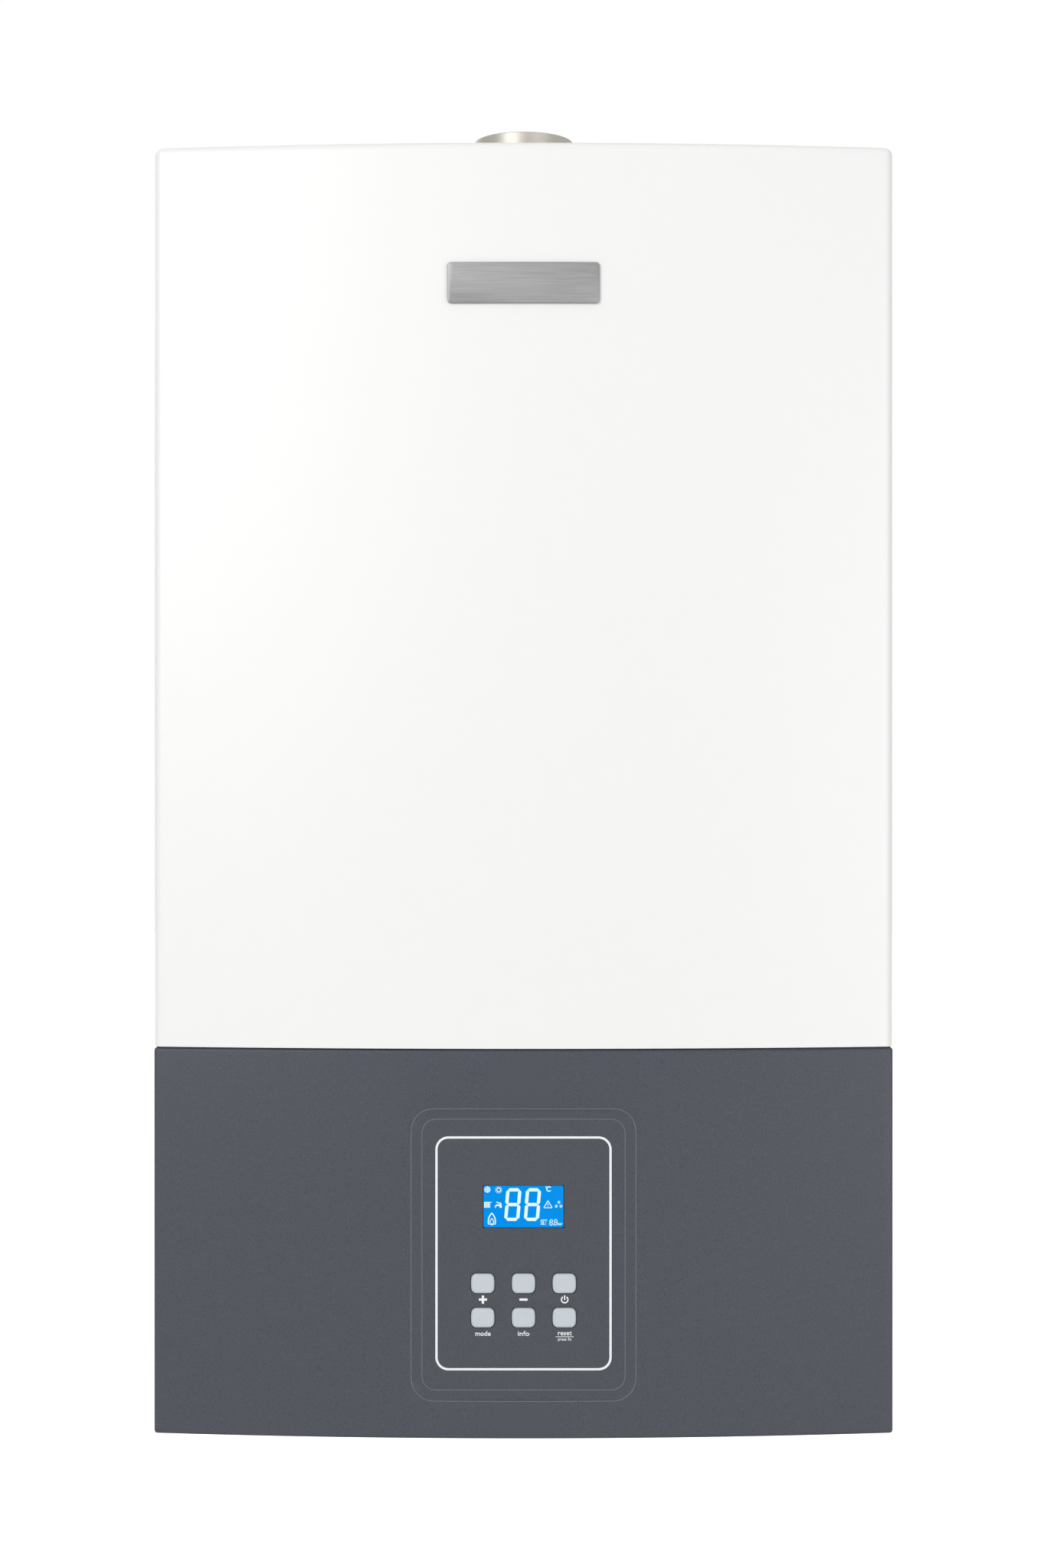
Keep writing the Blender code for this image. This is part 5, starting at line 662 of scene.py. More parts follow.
for side, digit_x in (("left", -5.75), ("right", 4.85)):
    lit(digit_segments((digit_x, 1.2), 8.2, 17.7, 1.75), "digit_" + side)
lit([line for figure_x in (14.9, 17.3) for line in digit_segments((figure_x, -8.4), 1.8, 3.4, 0.45)]
    + mark_lines((15.95, -9.85, 16.3, -9.85, 0.35)), "small_figure")
frost, sun = (-19.5, 9.3), (-13.4, 9.1)
lit(star(frost, 0.0, 1.7, 0.4, 6)
    + [mark_ring(frost, 1.35, 0.6, turn - 16.0, turn + 16.0, 3) for turn in range(0, 360, 60)], "frost_mark")
lit(star(sun, 1.45, 1.95, 0.3, 12) + [mark_ring(sun, 1.0, 0.42)], "sun_mark")
lit([mark_ring((13.75, 9.6), 1.2, 0.55, 40.0, 320.0), mark_ring((12.2, 10.7), 0.3, 0.2, steps=12)],
    "degree_mark")
lit(mark_lines(*[(-21.0 + 0.68 * rib, -0.5, -21.0 + 0.68 * rib, 2.3, 0.5) for rib in range(5)],
               (-21.25, 2.45, -17.1, 2.45, 0.32)), "radiator_mark")
lit(mark_lines((-14.7, 2.6, -12.0, 1.75, 0.5), (-12.5, 1.6, -12.2, -0.55, 1.1))
    + [mark_ring((-13.9, -0.3), 1.25, 0.75, 20.0, 165.0)] + mark_lines((-15.2, -0.7, -15.2, -0.2, 0.4)),
    "tap_mark")
lit(mark_lines((10.95, -0.55, 15.45, -0.55, 0.42), (10.95, -0.55, 13.2, 3.35, 0.42),
               (15.45, -0.55, 13.2, 3.35, 0.42), (13.2, 0.75, 13.2, 2.0, 0.4), (13.2, 0.1, 13.2, 0.45, 0.4)),
    "warning_mark")
lit([ray for centre in ((19.1, 2.4), (17.65, 0.3), (20.2, 0.3)) for ray in star(centre, 0.0, 0.85, 0.34, 6)],
    "three_star_mark")
flame_x = -17.1
lit([mark_ring((flame_x - 4.6, -8.0), 6.5, 0.6, -14.0, 45.0),
     mark_ring((flame_x + 4.6, -8.0), 6.5, 0.6, 135.0, 194.0),
     mark_ring((flame_x - 2.7, -8.8), 3.7, 0.42, -14.0, 43.5),
     mark_ring((flame_x + 2.7, -8.8), 3.7, 0.42, 136.5, 194.0),
     mark_ring((flame_x, -9.5), 0.42, 0.4, steps=14)], "flame_mark")

# Function words under the lower buttons, printed in the same ink, and two more on the display,
# all in plain letters. The one for the reset is underlined and says how long to press.

word_size, note_size = 3.7, 2.1


def word(letters, size, place, y, squeeze=1.0):
    """Flat plain letters centred on a place, facing forwards, squeezed to a share of their width."""
    rest()
    bpy.ops.object.text_add()
    obj = bpy.context.object
    obj.data.body = letters
    obj.data.size = size * mm
    obj.data.align_x = obj.data.align_y = "CENTER"
    obj.data.offset = 0.02 * size * mm
    obj.data.resolution_u = 3
    obj.scale = (squeeze, 1.0, 1.0)
    obj.rotation_euler = (radians(90.0), 0.0, 0.0)
    obj.location = (place[0], y, place[1])
    bpy.ops.object.convert(target="MESH")
    obj = bpy.context.object
    bpy.ops.object.transform_apply()
    edit(obj, "VERT")
    bpy.ops.mesh.remove_doubles(threshold=2e-6)
    rest()
    return obj


printed([word("mode", word_size, (plus_x, lower_mark_z), field_y)], "mode_word")
printed([word("info", word_size, (minus_x, lower_mark_z), field_y, 1.15)], "info_word")
line_z = lower_mark_z - 1.6 * mm
printed([word("reset", word_size, (power_x, lower_mark_z + 0.3 * mm), field_y),
         bar((power_x - 4.8 * mm, line_z), (power_x + 4.8 * mm, line_z), 0.3 * mm, field_y),
         word("press 5s", note_size, (power_x, lower_mark_z - 3.0 * mm), field_y, 1.05)], "reset_word")
lit([word("SET", 3.9, on_window(11.0, -8.5), segment_y, 0.58)], "set_word")
lit([word("bar", 2.3, on_window(19.7, -9.2), segment_y, 0.9)], "bar_word")

# Buttons. Six barrel-shaped caps in light grey ABS stand 1.6 mm above the field's floor. Behind
# the moulding each has a collar, and a stem that ends just before its switch on the board.

button_front, button_rear = [corner.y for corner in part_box("button_1")]
cap_round = 0.0014
collar_margin, collar_corner, collar_depth = 0.002, 0.0030, 0.0012
stem_radius = 0.002

# Satin ABS is a light grey moulding with a fine even grain that keeps its gloss low
satin_abs = finish("light_satin_abs", ("C4CBD2", "D0D7DD"), {"Roughness": 0.35, "IOR": 1.53}, [(1500.0, 2.0)],
                   relief=(0.06, 0.0001))

cap = button_outline("button_cap", button_width, button_height, button_front, button_swell, button_corner)
drawn_back(cap, pad_y + 2 * gap - button_front)
edit(cap, "EDGE", lambda edge: all(vert.co.y < button_front + 1e-6 for vert in edge.verts)
     and edge.calc_face_angle(0.0) > 1.0)
bpy.ops.mesh.bevel(offset=cap_round, segments=6, affect="EDGES")
collar = button_outline("button_collar", button_width + collar_margin, button_height + collar_margin,
                        pad_y + gap, button_swell, collar_corner)
drawn_back(collar, collar_depth)
carve(cap, collar, "UNION")
carve(cap, rod("button_stem", (0.0, pad_y + 0.0008, 0.0), (0.0, button_rear, 0.0), stem_radius), "UNION")
smooth(cap, 40.0)
for name in button_names:
    fit(moved(copied(cap, name + "_cap"), seen_place(name)), satin_abs, name, name)
bpy.data.objects.remove(cap, do_unlink=True)

# Name plate. A bare plate of brushed aluminium with rounded corners, bent to the casing's bow
# and glued near the top edge. The brushing runs along it.

badge_low, badge_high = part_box("badge_plate")
badge_thickness, badge_corner, badge_edge = 0.0012, 0.0018, 0.0003
badge_proud = 0.0017

# Brushed aluminium has fine scratches along its length, about 0.4 mm apart and 30 mm long
brushed_aluminium = finish("brushed_aluminium", ("727274", "989796"), {"Metallic": 1.0, "Anisotropic": 0.5},
                           [(1.0, 3.0, 30.0, 2600.0, 2600.0)], (0.30, 0.48), (0.12, 0.0001))

badge = bowed_sheet("badge_face", badge_high.x, -badge_proud, badge_low.z, badge_high.z, 24)
face_outwards(badge)
edit(badge, "FACE", lambda face: face.normal.y > 0)
bpy.ops.mesh.flip_normals()
edit(badge, "VERT", lambda vert: abs(abs(vert.co.x) - badge_high.x) < 1e-5)
bpy.ops.mesh.bevel(offset=badge_corner, segments=5, affect="VERTICES")
apply_modifier(badge, "SOLIDIFY", thickness=badge_thickness, offset=-1.0)
soften(badge, badge_edge, 3, 50.0)
smooth(badge)
fit(badge, brushed_aluminium, "front_cover", "badge_plate")

# Flue spigot. A turned aluminium pipe on the top plate that carries the flue gas away. Its rim is
# rolled over, a bead below it holds the next pipe, and a flange rests on the plate.

spigot_low, spigot_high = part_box("flue_spigot")
flue_x, flue_y = (spigot_low.x + spigot_high.x) / 2, (spigot_low.y + spigot_high.y) / 2
seat_reach, flue_wall = 0.005, 0.0015
flue_outer = spigot_high.x - flue_x - seat_reach
flue_bore = flue_outer - flue_wall
rim_z = spigot_high.z
seat_z = cover_high.z + gap
round_off = 0.0004


def turned(name, profile, centre, steps=64, smooth_angle=35.0):
    """Spins a closed profile of radius and height pairs about an upright axis."""
    rest()
    bpy.ops.mesh.primitive_plane_add(size=0.001)
    obj = made(name)
    edit(obj, "VERT")
    bpy.ops.mesh.merge(type="CENTER")
    bpy.ops.transform.translate(value=(profile[0][0], 0.0, profile[0][1]))
    for (radius, height), (next_radius, next_height) in zip(profile, profile[1:]):
        bpy.ops.mesh.extrude_vertices_move(
            TRANSFORM_OT_translate={"value": (next_radius - radius, 0.0, next_height - height)})
    edit(obj, "EDGE")
    bpy.ops.mesh.spin(steps=steps, angle=tau, center=(0.0, 0.0, 0.0), axis=(0.0, 0.0, 1.0))
    edit(obj, "VERT")
    bpy.ops.mesh.remove_doubles(threshold=1e-6)
    face_outwards(obj)
    moved(obj, centre)
    smooth(obj, smooth_angle)
    return obj


# Spun aluminium has fine rings from the tool, and it dulls to a warm grey
spun_aluminium = finish("spun_aluminium", ("9A9790", "BDB9B2"), {"Metallic": 1.0},
                        [(55.0, 5.0), (1.0, 3.0, 12.0, 12.0, 2600.0)], (0.32, 0.52), (0.15, 0.0001))

spigot_profile = [
    (flue_outer - round_off, rim_z), (flue_outer, rim_z - round_off), (flue_outer, rim_z - 0.0100),
    (flue_outer + 0.0006, rim_z - 0.0108), (flue_outer + 0.0008, rim_z - 0.0120),
    (flue_outer + 0.0006, rim_z - 0.0132), (flue_outer, rim_z - 0.0140), (flue_outer, seat_z + 0.0022),
    (flue_outer + 0.0007, seat_z + flue_wall), (flue_outer + seat_reach, seat_z + flue_wall),
    (flue_outer + seat_reach, seat_z), (flue_outer, seat_z), (flue_outer, spigot_low.z),
    (flue_bore, spigot_low.z), (flue_bore, rim_z - round_off), (flue_bore + round_off, rim_z),
    (flue_outer - round_off, rim_z)]
spigot = turned("flue_spigot_pipe", spigot_profile, (flue_x, flue_y, 0.0), 96)
fit(spigot, spun_aluminium, "root", "flue_spigot")

# Air collar. A galvanised ring with a rolled rim and a flat flange, which four screws hold to
# the top plate. The outer pipe sits on it and brings the combustion air in round the flue.

collar_low, collar_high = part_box("air_collar")
air_radius = 0.050
air_flange = collar_high.x - flue_x
collar_wall = 0.0015
air_bore = air_radius - collar_wall
collar_top = collar_high.z
flange_top = collar_low.z + collar_wall


def galvanised_steel(name, dark, light):
    """Zinc-dipped sheet: flat crystals about 7 mm wide, each a little lighter or duller than the next."""
    sheet = new_material(name)
    spot = add_node(sheet, "TexCoord")
    crystal = add_node(sheet, "TexVoronoi", {"Scale": 150.0}, {"Vector": (spot, "Object")})
    streak = add_node(sheet, "TexNoise", {"Scale": 420.0, "Detail": 3.0}, {"Vector": (spot, "Object")})
    tone = add_node(sheet, "MapRange", {"To Min": 0.0, "To Max": 0.8}, {"Value": (crystal, "Color")})
    tone_streak = add_node(sheet, "Math", {"operation": "MULTIPLY_ADD", 1: 0.3},
                           {0: (streak, "Fac"), 2: (tone, "Result")})
    colour = add_node(sheet, "Mix", {"data_type": "RGBA", 6: linear(dark), 7: linear(light)},
                      {"Factor": (tone_streak, 0)})
    rough = add_node(sheet, "MapRange", {"To Min": 0.34, "To Max": 0.54}, {"Value": (crystal, "Color")})
    bump = add_node(sheet, "Bump", {"Strength": 0.06, "Distance": 0.0001}, {"Height": (streak, "Fac")})
    return surface(sheet, {"Base Color": linear(light), "Metallic": 1.0},
                   {"Base Color": (colour, 2), "Roughness": (rough, "Result"), "Normal": (bump, "Normal")})


zinc_sheet = galvanised_steel("galvanised_steel", "999C9E", "B7BABC")

collar_profile = [
    (air_radius - round_off, collar_top), (air_radius, collar_top - round_off),
    (air_radius, collar_top - 0.0070), (air_radius + 0.0009, collar_top - 0.0082),
    (air_radius + 0.0009, collar_top - 0.0098), (air_radius, collar_top - 0.0110),
    (air_radius, flange_top + 0.0008), (air_radius + 0.0008, flange_top),
    (air_flange - 0.0003, flange_top), (air_flange, flange_top - 0.0003), (air_flange, collar_low.z),
    (air_bore, collar_low.z), (air_bore, collar_top - round_off), (air_bore + round_off, collar_top),
    (air_radius - round_off, collar_top)]
air_ring = turned("air_collar_ring", collar_profile, (flue_x, flue_y, 0.0), 96)
fit(air_ring, zinc_sheet, "root", "air_collar")

# Screws. Pan-head screws with a cross recess, zinc plated. One is modelled and copied to each
# place: the air collar, the floor plate, the control box, the chamber front, the fan, the pump.

screw_radius, screw_height = 0.0033, 0.0021
recess_half, recess_narrow, recess_depth = 0.0020, 0.0005, 0.0011
UP, DOWN, FORWARDS, BACKWARDS = (0.0, 0.0, 1.0), (0.0, 0.0, -1.0), (0.0, -1.0, 0.0), (0.0, 1.0, 0.0)

# Zinc plating is a bright bluish grey, scuffed to a duller gloss where a driver has touched it
zinc_plate = finish("zinc_plated_steel", ("A2A3A2", "C6C7C5"), {"Metallic": 1.0}, [(900.0, 3.0)],
                    (0.22, 0.42))

crown = [(screw_radius * sin(turn), screw_height * (0.45 + 0.55 * cos(turn)))
         for turn in map(radians, (30, 55, 75, 90))]
screw_profile = [(0.0, screw_height), *crown, (screw_radius, 0.0), (0.0, 0.0), (0.0, screw_height)]
screw_model = turned("screw_model", screw_profile, (0.0, 0.0, 0.0), 20)
for across, along in ((recess_half, recess_narrow), (recess_narrow, recess_half)):
    carve(screw_model, block("recess", (-across, -along, screw_height - recess_depth),
                             (across, along, screw_height + 0.001)))
smooth(screw_model, 35.0)


def screws(name, body, places, facing):
    """Copies the screw to each place, with its head towards the facing direction, as one piece."""
    heads = []
    for place in places:
        head = copied(screw_model, name)
        head.rotation_euler = Vector(UP).rotation_difference(Vector(facing)).to_euler()
        heads.append(moved(head, place))
    fit(join(heads, name), zinc_plate, body)


def on_ring(radius, degrees):
    """Offsets on a circle, one for each angle."""
    return [(radius * cos(turn), radius * sin(turn)) for turn in map(radians, degrees)]


ring_radius = (air_radius + air_flange) / 2
screws("air_collar_screws", "root",
       [(flue_x + x, flue_y + y, flange_top) for x, y in on_ring(ring_radius, (0, 90, 180, 270))], UP)

# Sheet casing. Two side panels and the top plate, folded from 1 mm steel and powder coated white
# like the cover. The back panel, the floor plate and the hinge brackets are galvanised.


def dressed(node, name, body, material, edge=0.0003, smooth_angle=35.0):
    """A merged copy of a CAD node whose sharp edges are rounded, which stands for that node."""
    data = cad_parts[node].data.copy()
    obj = bpy.data.objects.new(name, data)
    bpy.context.scene.collection.objects.link(obj)
    edit(obj, "VERT")
    bpy.ops.mesh.remove_doubles(threshold=2e-6)
    bpy.ops.mesh.dissolve_limited(angle_limit=radians(1.0))
    rest()
    if edge:
        soften(obj, edge, 2, smooth_angle)
    smooth(obj, smooth_angle)
    apply_modifier(obj, "WEIGHTED_NORMAL", keep_sharp=True)
    fit(obj, material, body, node)


for node in ("side_panel_left", "side_panel_right", "top_plate"):
    dressed(node, node + "_sheet", "root", white_powder_coat)
for node in ("back_panel", "bottom_plate", "hinge_bracket_left", "hinge_bracket_right"):
    dressed(node, node + "_sheet", "root", zinc_sheet)
floor_low, floor_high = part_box("bottom_plate")
floor_screw_inset = 0.008
screws("floor_screws", "root",
       [(side * (floor_high.x - floor_screw_inset), y, floor_low.z) for side in (-1, 1)
        for y in (-0.262, -0.145, -0.022)], DOWN)

# Pipe connections. Machined brass nipples with a pipe thread of 1.8 mm pitch, each held to the
# floor plate by a thin hexagon nut. From the left: flow, hot water, gas, cold water, return.

thread_pitch, thread_depth = 0.0018, 0.0010
flange_reach, flange_height, nipple_wall = 0.003, 0.0080, 0.003
nut_thickness, nut_reach, nut_seat = 0.0050, 0.0032, 0.0002

# Brass keeps its turned sheen, and it tarnishes in soft brown clouds
machined_brass = finish("machined_brass", ("B2935A", "DCC38B"), {"Metallic": 1.0},
                        [(70.0, 5.0), (1400.0, 2.0)], (0.42, 0.24), (0.08, 0.0001))


def hex_nut(name, start, end, bore_radius, reach):
    """A brass hexagon nut with chamfered corners, from start to end along its axis."""
    start, end = Vector(start), Vector(end)
    along = (end - start).normalized() * 0.001
    across = bore_radius + reach
    nut = rod(name, start, end, across * 1.12, 6)
    crown = rod("nut_crown", start - along, end + along, across * 1.07, 48)
    soften(crown, 0.0016, 1, 60.0)
    carve(nut, crown, "INTERSECT")
    carve(nut, rod("nut_bore", start - along * 5, end + along * 5, bore_radius + 0.0001, 48))
    soften(nut, 0.0002)
    smooth(nut)
    fit(nut, machined_brass, "root")


for node in ("heating_flow_nipple", "hot_water_nipple", "gas_nipple", "cold_water_nipple",
             "heating_return_nipple"):
    low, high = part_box(node)
    x, y = (low.x + high.x) / 2, (low.y + high.y) / 2
    flange = (high.x - low.x) / 2
    thread = flange - flange_reach
    bore = thread - nipple_wall
    profile = [(flange - round_off, high.z), (flange, high.z - round_off), (flange, high.z - flange_height),
               (thread, high.z - flange_height - 0.0002)]
    thread_top = floor_low.z + 0.004
    for ridge in range(int((thread_top - low.z - 0.0015) / thread_pitch)):
        crest = thread_top - ridge * thread_pitch
        profile += [(thread, crest), (thread, crest - thread_pitch * 0.25),
                    (thread - thread_depth, crest - thread_pitch * 0.6)]
    profile += [(thread - 0.0006, low.z + 0.0006), (thread - 0.0012, low.z), (bore + round_off, low.z),
                (bore, low.z + round_off), (bore, high.z - round_off), (bore + round_off, high.z),
                (flange - round_off, high.z)]
    fit(turned(node + "_thread", profile, (x, y, 0.0), 64, 50.0), machined_brass, "root", node)
    nut_top = floor_low.z - nut_seat
    hex_nut(node + "_nut", (x, y, nut_top), (x, y, nut_top - nut_thickness), thread, nut_reach)

# Cable gland and control box. Black ABS, moulded with a fine spark-eroded grain. Four screws
# hold the box to the panel from behind, and its back is stiffened by ribs.


def moulded_plastic(name, dark, light, roughness, grain_mm=0.8):
    """A moulding with the grain of its spark-eroded tool."""
    return finish(name, (dark, light), {"IOR": 1.53}, [(1000.0 / grain_mm, 2.0), (40.0, 3.0)],
                  (roughness - 0.06, roughness + 0.06), (0.15, 0.0001), follow=(0, 1, 0))


black_abs = moulded_plastic("black_abs", "202224", "34373A", 0.50)
dressed("cable_gland", "cable_gland_body", "root", black_abs, 0.0004)
dressed("control_box", "control_box_shell", "control_panel", black_abs, 0.0006)
box_low, box_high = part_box("control_box")
rib_half, rib_reach, rib_root, rib_pitch = 0.0009, 0.0012, 0.0008, 0.020
rib_foot, rib_head = box_low.z + 0.032, box_high.z - 0.014
ribs = []
for rib_x in [number * rib_pitch for number in range(-6, 7)]:
    rib = block("box_rib", (rib_x - rib_half, box_high.y - rib_root, rib_foot),
                (rib_x + rib_half, box_high.y + rib_reach, rib_head))
    soften(rib, 0.0005, degrees=40.0)
    smooth(rib)
    ribs.append(rib)
fit(join(ribs, "control_box_ribs"), black_abs, "control_panel")
screws("control_box_screws", "control_panel",
       [(side * 0.135, box_high.y, z) for side in (-1, 1) for z in (box_low.z + 0.0232, box_high.z - 0.0062)],
       BACKWARDS)

# Control board. Glass-fibre board under a green solder mask, with fine copper tracks that show
# through it. It carries the display module and the switches behind the buttons.

solder_mask = new_material("green_solder_mask")
place = add_node(solder_mask, "TexCoord")
track = add_node(solder_mask, "TexBrick", {
    "Scale": 130.0, "Mortar Size": 0.06, "offset": 0.35, "Color1": linear("0B4A2C"),
    "Color2": linear("0E5533"), "Mortar": linear("2C7A4C")}, {"Vector": (place, "Object")})
surface(solder_mask, {"Base Color": linear("0E5533"), "Roughness": 0.28, "IOR": 1.5},
        {"Base Color": (track, "Color")})
dressed("control_board", "control_board_card", "control_panel", solder_mask, 0.0002)

# Expansion vessel. Two domed steel pressings, welded at a rolled rim and painted red. It hangs
# flat against the back panel, and its nipple at the foot takes the vessel pipe.

vessel_red = powder_coat("red_vessel_paint", "A3281F")
vessel_low, vessel_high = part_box("expansion_vessel")
vessel_radius = (vessel_high.x - vessel_low.x) / 2
vessel_half = (vessel_high.y - vessel_low.y) / 2
vessel_y = (vessel_low.y + vessel_high.y) / 2
vessel_z = vessel_high.z - vessel_radius
dome_radius, shoulder, rim_half, rim_round = vessel_radius - 0.006, 0.028, 0.002, 0.0008
nipple_root, nipple_radius = 0.012, 0.008
dome = [(dome_radius - shoulder + shoulder * sin(turn), vessel_half * cos(turn))
        for turn in map(radians, (0, 12, 24, 36, 48, 60, 72, 80))]
front_half = [(0.0, vessel_half), *dome, (dome_radius, rim_half), (vessel_radius - rim_round, rim_half),
              (vessel_radius, rim_half - rim_round)]
vessel_profile = front_half + [(radius, -height) for radius, height in reversed(front_half)]
vessel = turned("expansion_vessel_shell", vessel_profile, (0.0, 0.0, 0.0), 96, 40.0)
vessel.rotation_euler = (radians(90.0), 0.0, 0.0)
moved(vessel, (0.0, vessel_y, vessel_z))
carve(vessel, rod("vessel_nipple", (0.0, vessel_y, vessel_z - vessel_radius + nipple_root),
                  (0.0, vessel_y, vessel_low.z), nipple_radius, 32), "UNION")
smooth(vessel, 40.0)
fit(vessel, vessel_red, "root", "expansion_vessel")

# Burner, combustion chamber and heat exchanger. The burner's blades and rails are stainless
# sheet, the chamber is galvanised, and the exchanger is copper with thin fins and round bends.


def worked_metal(name, dark, light, smoothest, roughest, scale=60.0, stretch=(1.0, 1.0, 1.0)):
    """A bare metal whose tone and gloss wander, finely scratched along the stretch."""
    return finish(name, (dark, light), {"Metallic": 1.0}, [(scale, 5.0), (900.0, 2.0, *stretch)],
                  (smoothest, roughest), (0.08, 0.0001))


stainless_sheet = worked_metal("stainless_sheet", "96948F", "BEBCB8", 0.24, 0.40, 50.0, (0.05, 1.0, 1.0))
drawn_copper = worked_metal("drawn_copper", "A5603F", "D48C68", 0.20, 0.42, 45.0)
dressed("burner", "burner_rack", "root", stainless_sheet, 0.0002)
for node in ("combustion_chamber", "chamber_front", "chamber_bracket_left", "chamber_bracket_right",
             "flue_hood"):
    dressed(node, node + "_sheet", "root", zinc_sheet, 0.0002)
dressed("heat_exchanger", "heat_exchanger_core", "root", drawn_copper, 0.00015, 40.0)
front_low, front_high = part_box("chamber_front")
front_screw_y = front_low.y + 0.002
front_screw_x = (-0.117, -0.060, 0.0, 0.060, 0.117)
screws("chamber_front_screws", "root",
       [(x, front_screw_y, front_high.z - 0.008) for x in front_screw_x]
       + [(x, front_screw_y, front_low.z + 0.008) for x in front_screw_x if x != 0.060], FORWARDS)

# Fan. A galvanised spiral housing with an aluminium wheel, its outlet adaptor, and a small
# shaded-pole motor in front, whose coil of enamelled copper wire sits on one side of its core.

fan_aluminium = worked_metal("pressed_aluminium", "9A9B9C", "C3C4C5", 0.26, 0.40, 80.0)
dressed("fan_housing", "fan_scroll", "root", zinc_sheet, 0.0003)
dressed("fan_outlet", "fan_outlet_adaptor", "root", zinc_sheet, 0.0002)
dressed("fan_wheel", "fan_wheel_blades", "fan_wheel", fan_aluminium, 0.0001)
dressed("fan_motor", "fan_motor_body", "root", zinc_sheet, 0.0006)
scroll_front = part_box("fan_housing")[0].y
screws("fan_screws", "root",
       [(-0.014, scroll_front, 0.298), (0.012, scroll_front, 0.212), (0.076, scroll_front, 0.228),
        (0.080, scroll_front, 0.262)], FORWARDS)
coil_x, coil_y, coil_foot = 0.067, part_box("fan_motor")[1].y - 0.017, 0.2515
coil_inside, coil_middle, coil_outside = 0.0088, 0.0092, 0.0099
wire_half, wire_pitch, coil_turns = 0.0006, 0.0012, 18
wire = [(coil_middle, -wire_half), (coil_outside, 0.0), (coil_middle, wire_half), (coil_inside, 0.0),
        (coil_middle, -wire_half)]
winding = join([turned("coil_turn", wire, (coil_x, coil_y, coil_foot + wire_pitch * count), 24)
                for count in range(coil_turns)], "motor_winding")
enamelled_wire = worked_metal("enamelled_copper_wire", "8C3F1E", "B4623A", 0.25, 0.35, 300.0)
fit(winding, enamelled_wire, "root")

# Gas side. A die-cast aluminium valve with two operator coils, and an aluminium manifold whose
# nozzles are in line with the burner's blades. The electrode is a glazed insulator.

cast_aluminium = worked_metal("die_cast_aluminium", "85888A", "ABAEB0", 0.42, 0.60, 120.0)
glazed_insulator = moulded_plastic("glazed_ceramic", "D9D4C8", "F1EDE4", 0.18, 1.5)
dressed("gas_valve", "gas_valve_casting", "root", cast_aluminium, 0.0008)
dressed("gas_manifold", "gas_manifold_bar", "root", cast_aluminium, 0.0004)
dressed("ignition_electrode", "ignition_electrode_body", "root", glazed_insulator, 0.0002)

# Water side. Brass blocks, a plastic pump body with a painted iron motor, the plate exchanger's
# brazed stainless stack, and copper pipes bent to join them.

pump_iron = moulded_plastic("painted_cast_iron", "23282E", "343B43", 0.55, 1.6)
pump_composite = moulded_plastic("glass_filled_polymer", "1D1E20", "303236", 0.58, 0.9)
for node in ("flow_block", "return_block"):
    dressed(node, node + "_casting", "root", machined_brass, 0.0008)
for node in ("air_vent", "safety_valve"):
    dressed(node, node + "_body", "root", machined_brass, 0.0003)
dressed("pump_body", "pump_body_casting", "root", pump_composite, 0.0008)
dressed("pump_motor", "pump_motor_casing", "root", pump_iron, 0.0005)
motor_low, motor_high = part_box("pump_motor")
pump_x, pump_z = (motor_low.x + motor_high.x) / 2, -0.215
plug_radius, plug_proud, slot_half, slot_rise = 0.0085, 0.0015, 0.0065, 0.0008
screws("pump_motor_screws", "root",
       [(pump_x + x, motor_low.y, pump_z + z) for x, z in on_ring(0.029, (45, 135, 225, 315))], FORWARDS)
vent_plug = rod("pump_vent_plug", (pump_x, motor_low.y + 0.003, pump_z),
                (pump_x, motor_low.y - plug_proud, pump_z), plug_radius, 40)
carve(vent_plug, block("plug_slot", (pump_x - slot_half, motor_low.y - 2 * plug_proud, pump_z - slot_rise),
                       (pump_x + slot_half, motor_low.y - 0.0001, pump_z + slot_rise)))
soften(vent_plug, 0.0003)
smooth(vent_plug)
fit(vent_plug, zinc_plate, "root")
dressed("pump_wheel", "pump_wheel_vanes", "pump_wheel", stainless_sheet, 0.0002)
dressed("diverter_motor", "diverter_motor_case", "root", black_abs, 0.0008)
dressed("plate_exchanger", "plate_exchanger_stack", "root", stainless_sheet, 0.0002)
dressed("air_switch", "air_switch_body", "root", black_abs, 0.0005)

# Pipes. Half-hard copper tube, bent round a former, with a brass union nut at each end: gas from
# the valve to the manifold, heating flow and return, and the branch to the expansion vessel.


def bent_route(corners, bend, steps=8):
    """The corners joined by straight lines, each turned on an arc of the bend's radius."""
    places = [Vector(corner) for corner in corners]
    route = [places[0]]
    for before, corner, after in zip(places, places[1:], places[2:]):
        back, ahead = (before - corner).normalized(), (after - corner).normalized()
        half = back.angle(ahead) / 2
        hub = corner + (back + ahead).normalized() * (bend / sin(half))
        first = corner + back * (bend / tan(half)) - hub
        last = corner + ahead * (bend / tan(half)) - hub
        route += [hub + Matrix.Rotation(first.angle(last) * step / steps, 3, first.cross(last)) @ first
                  for step in range(steps + 1)]
    return route + [places[-1]]


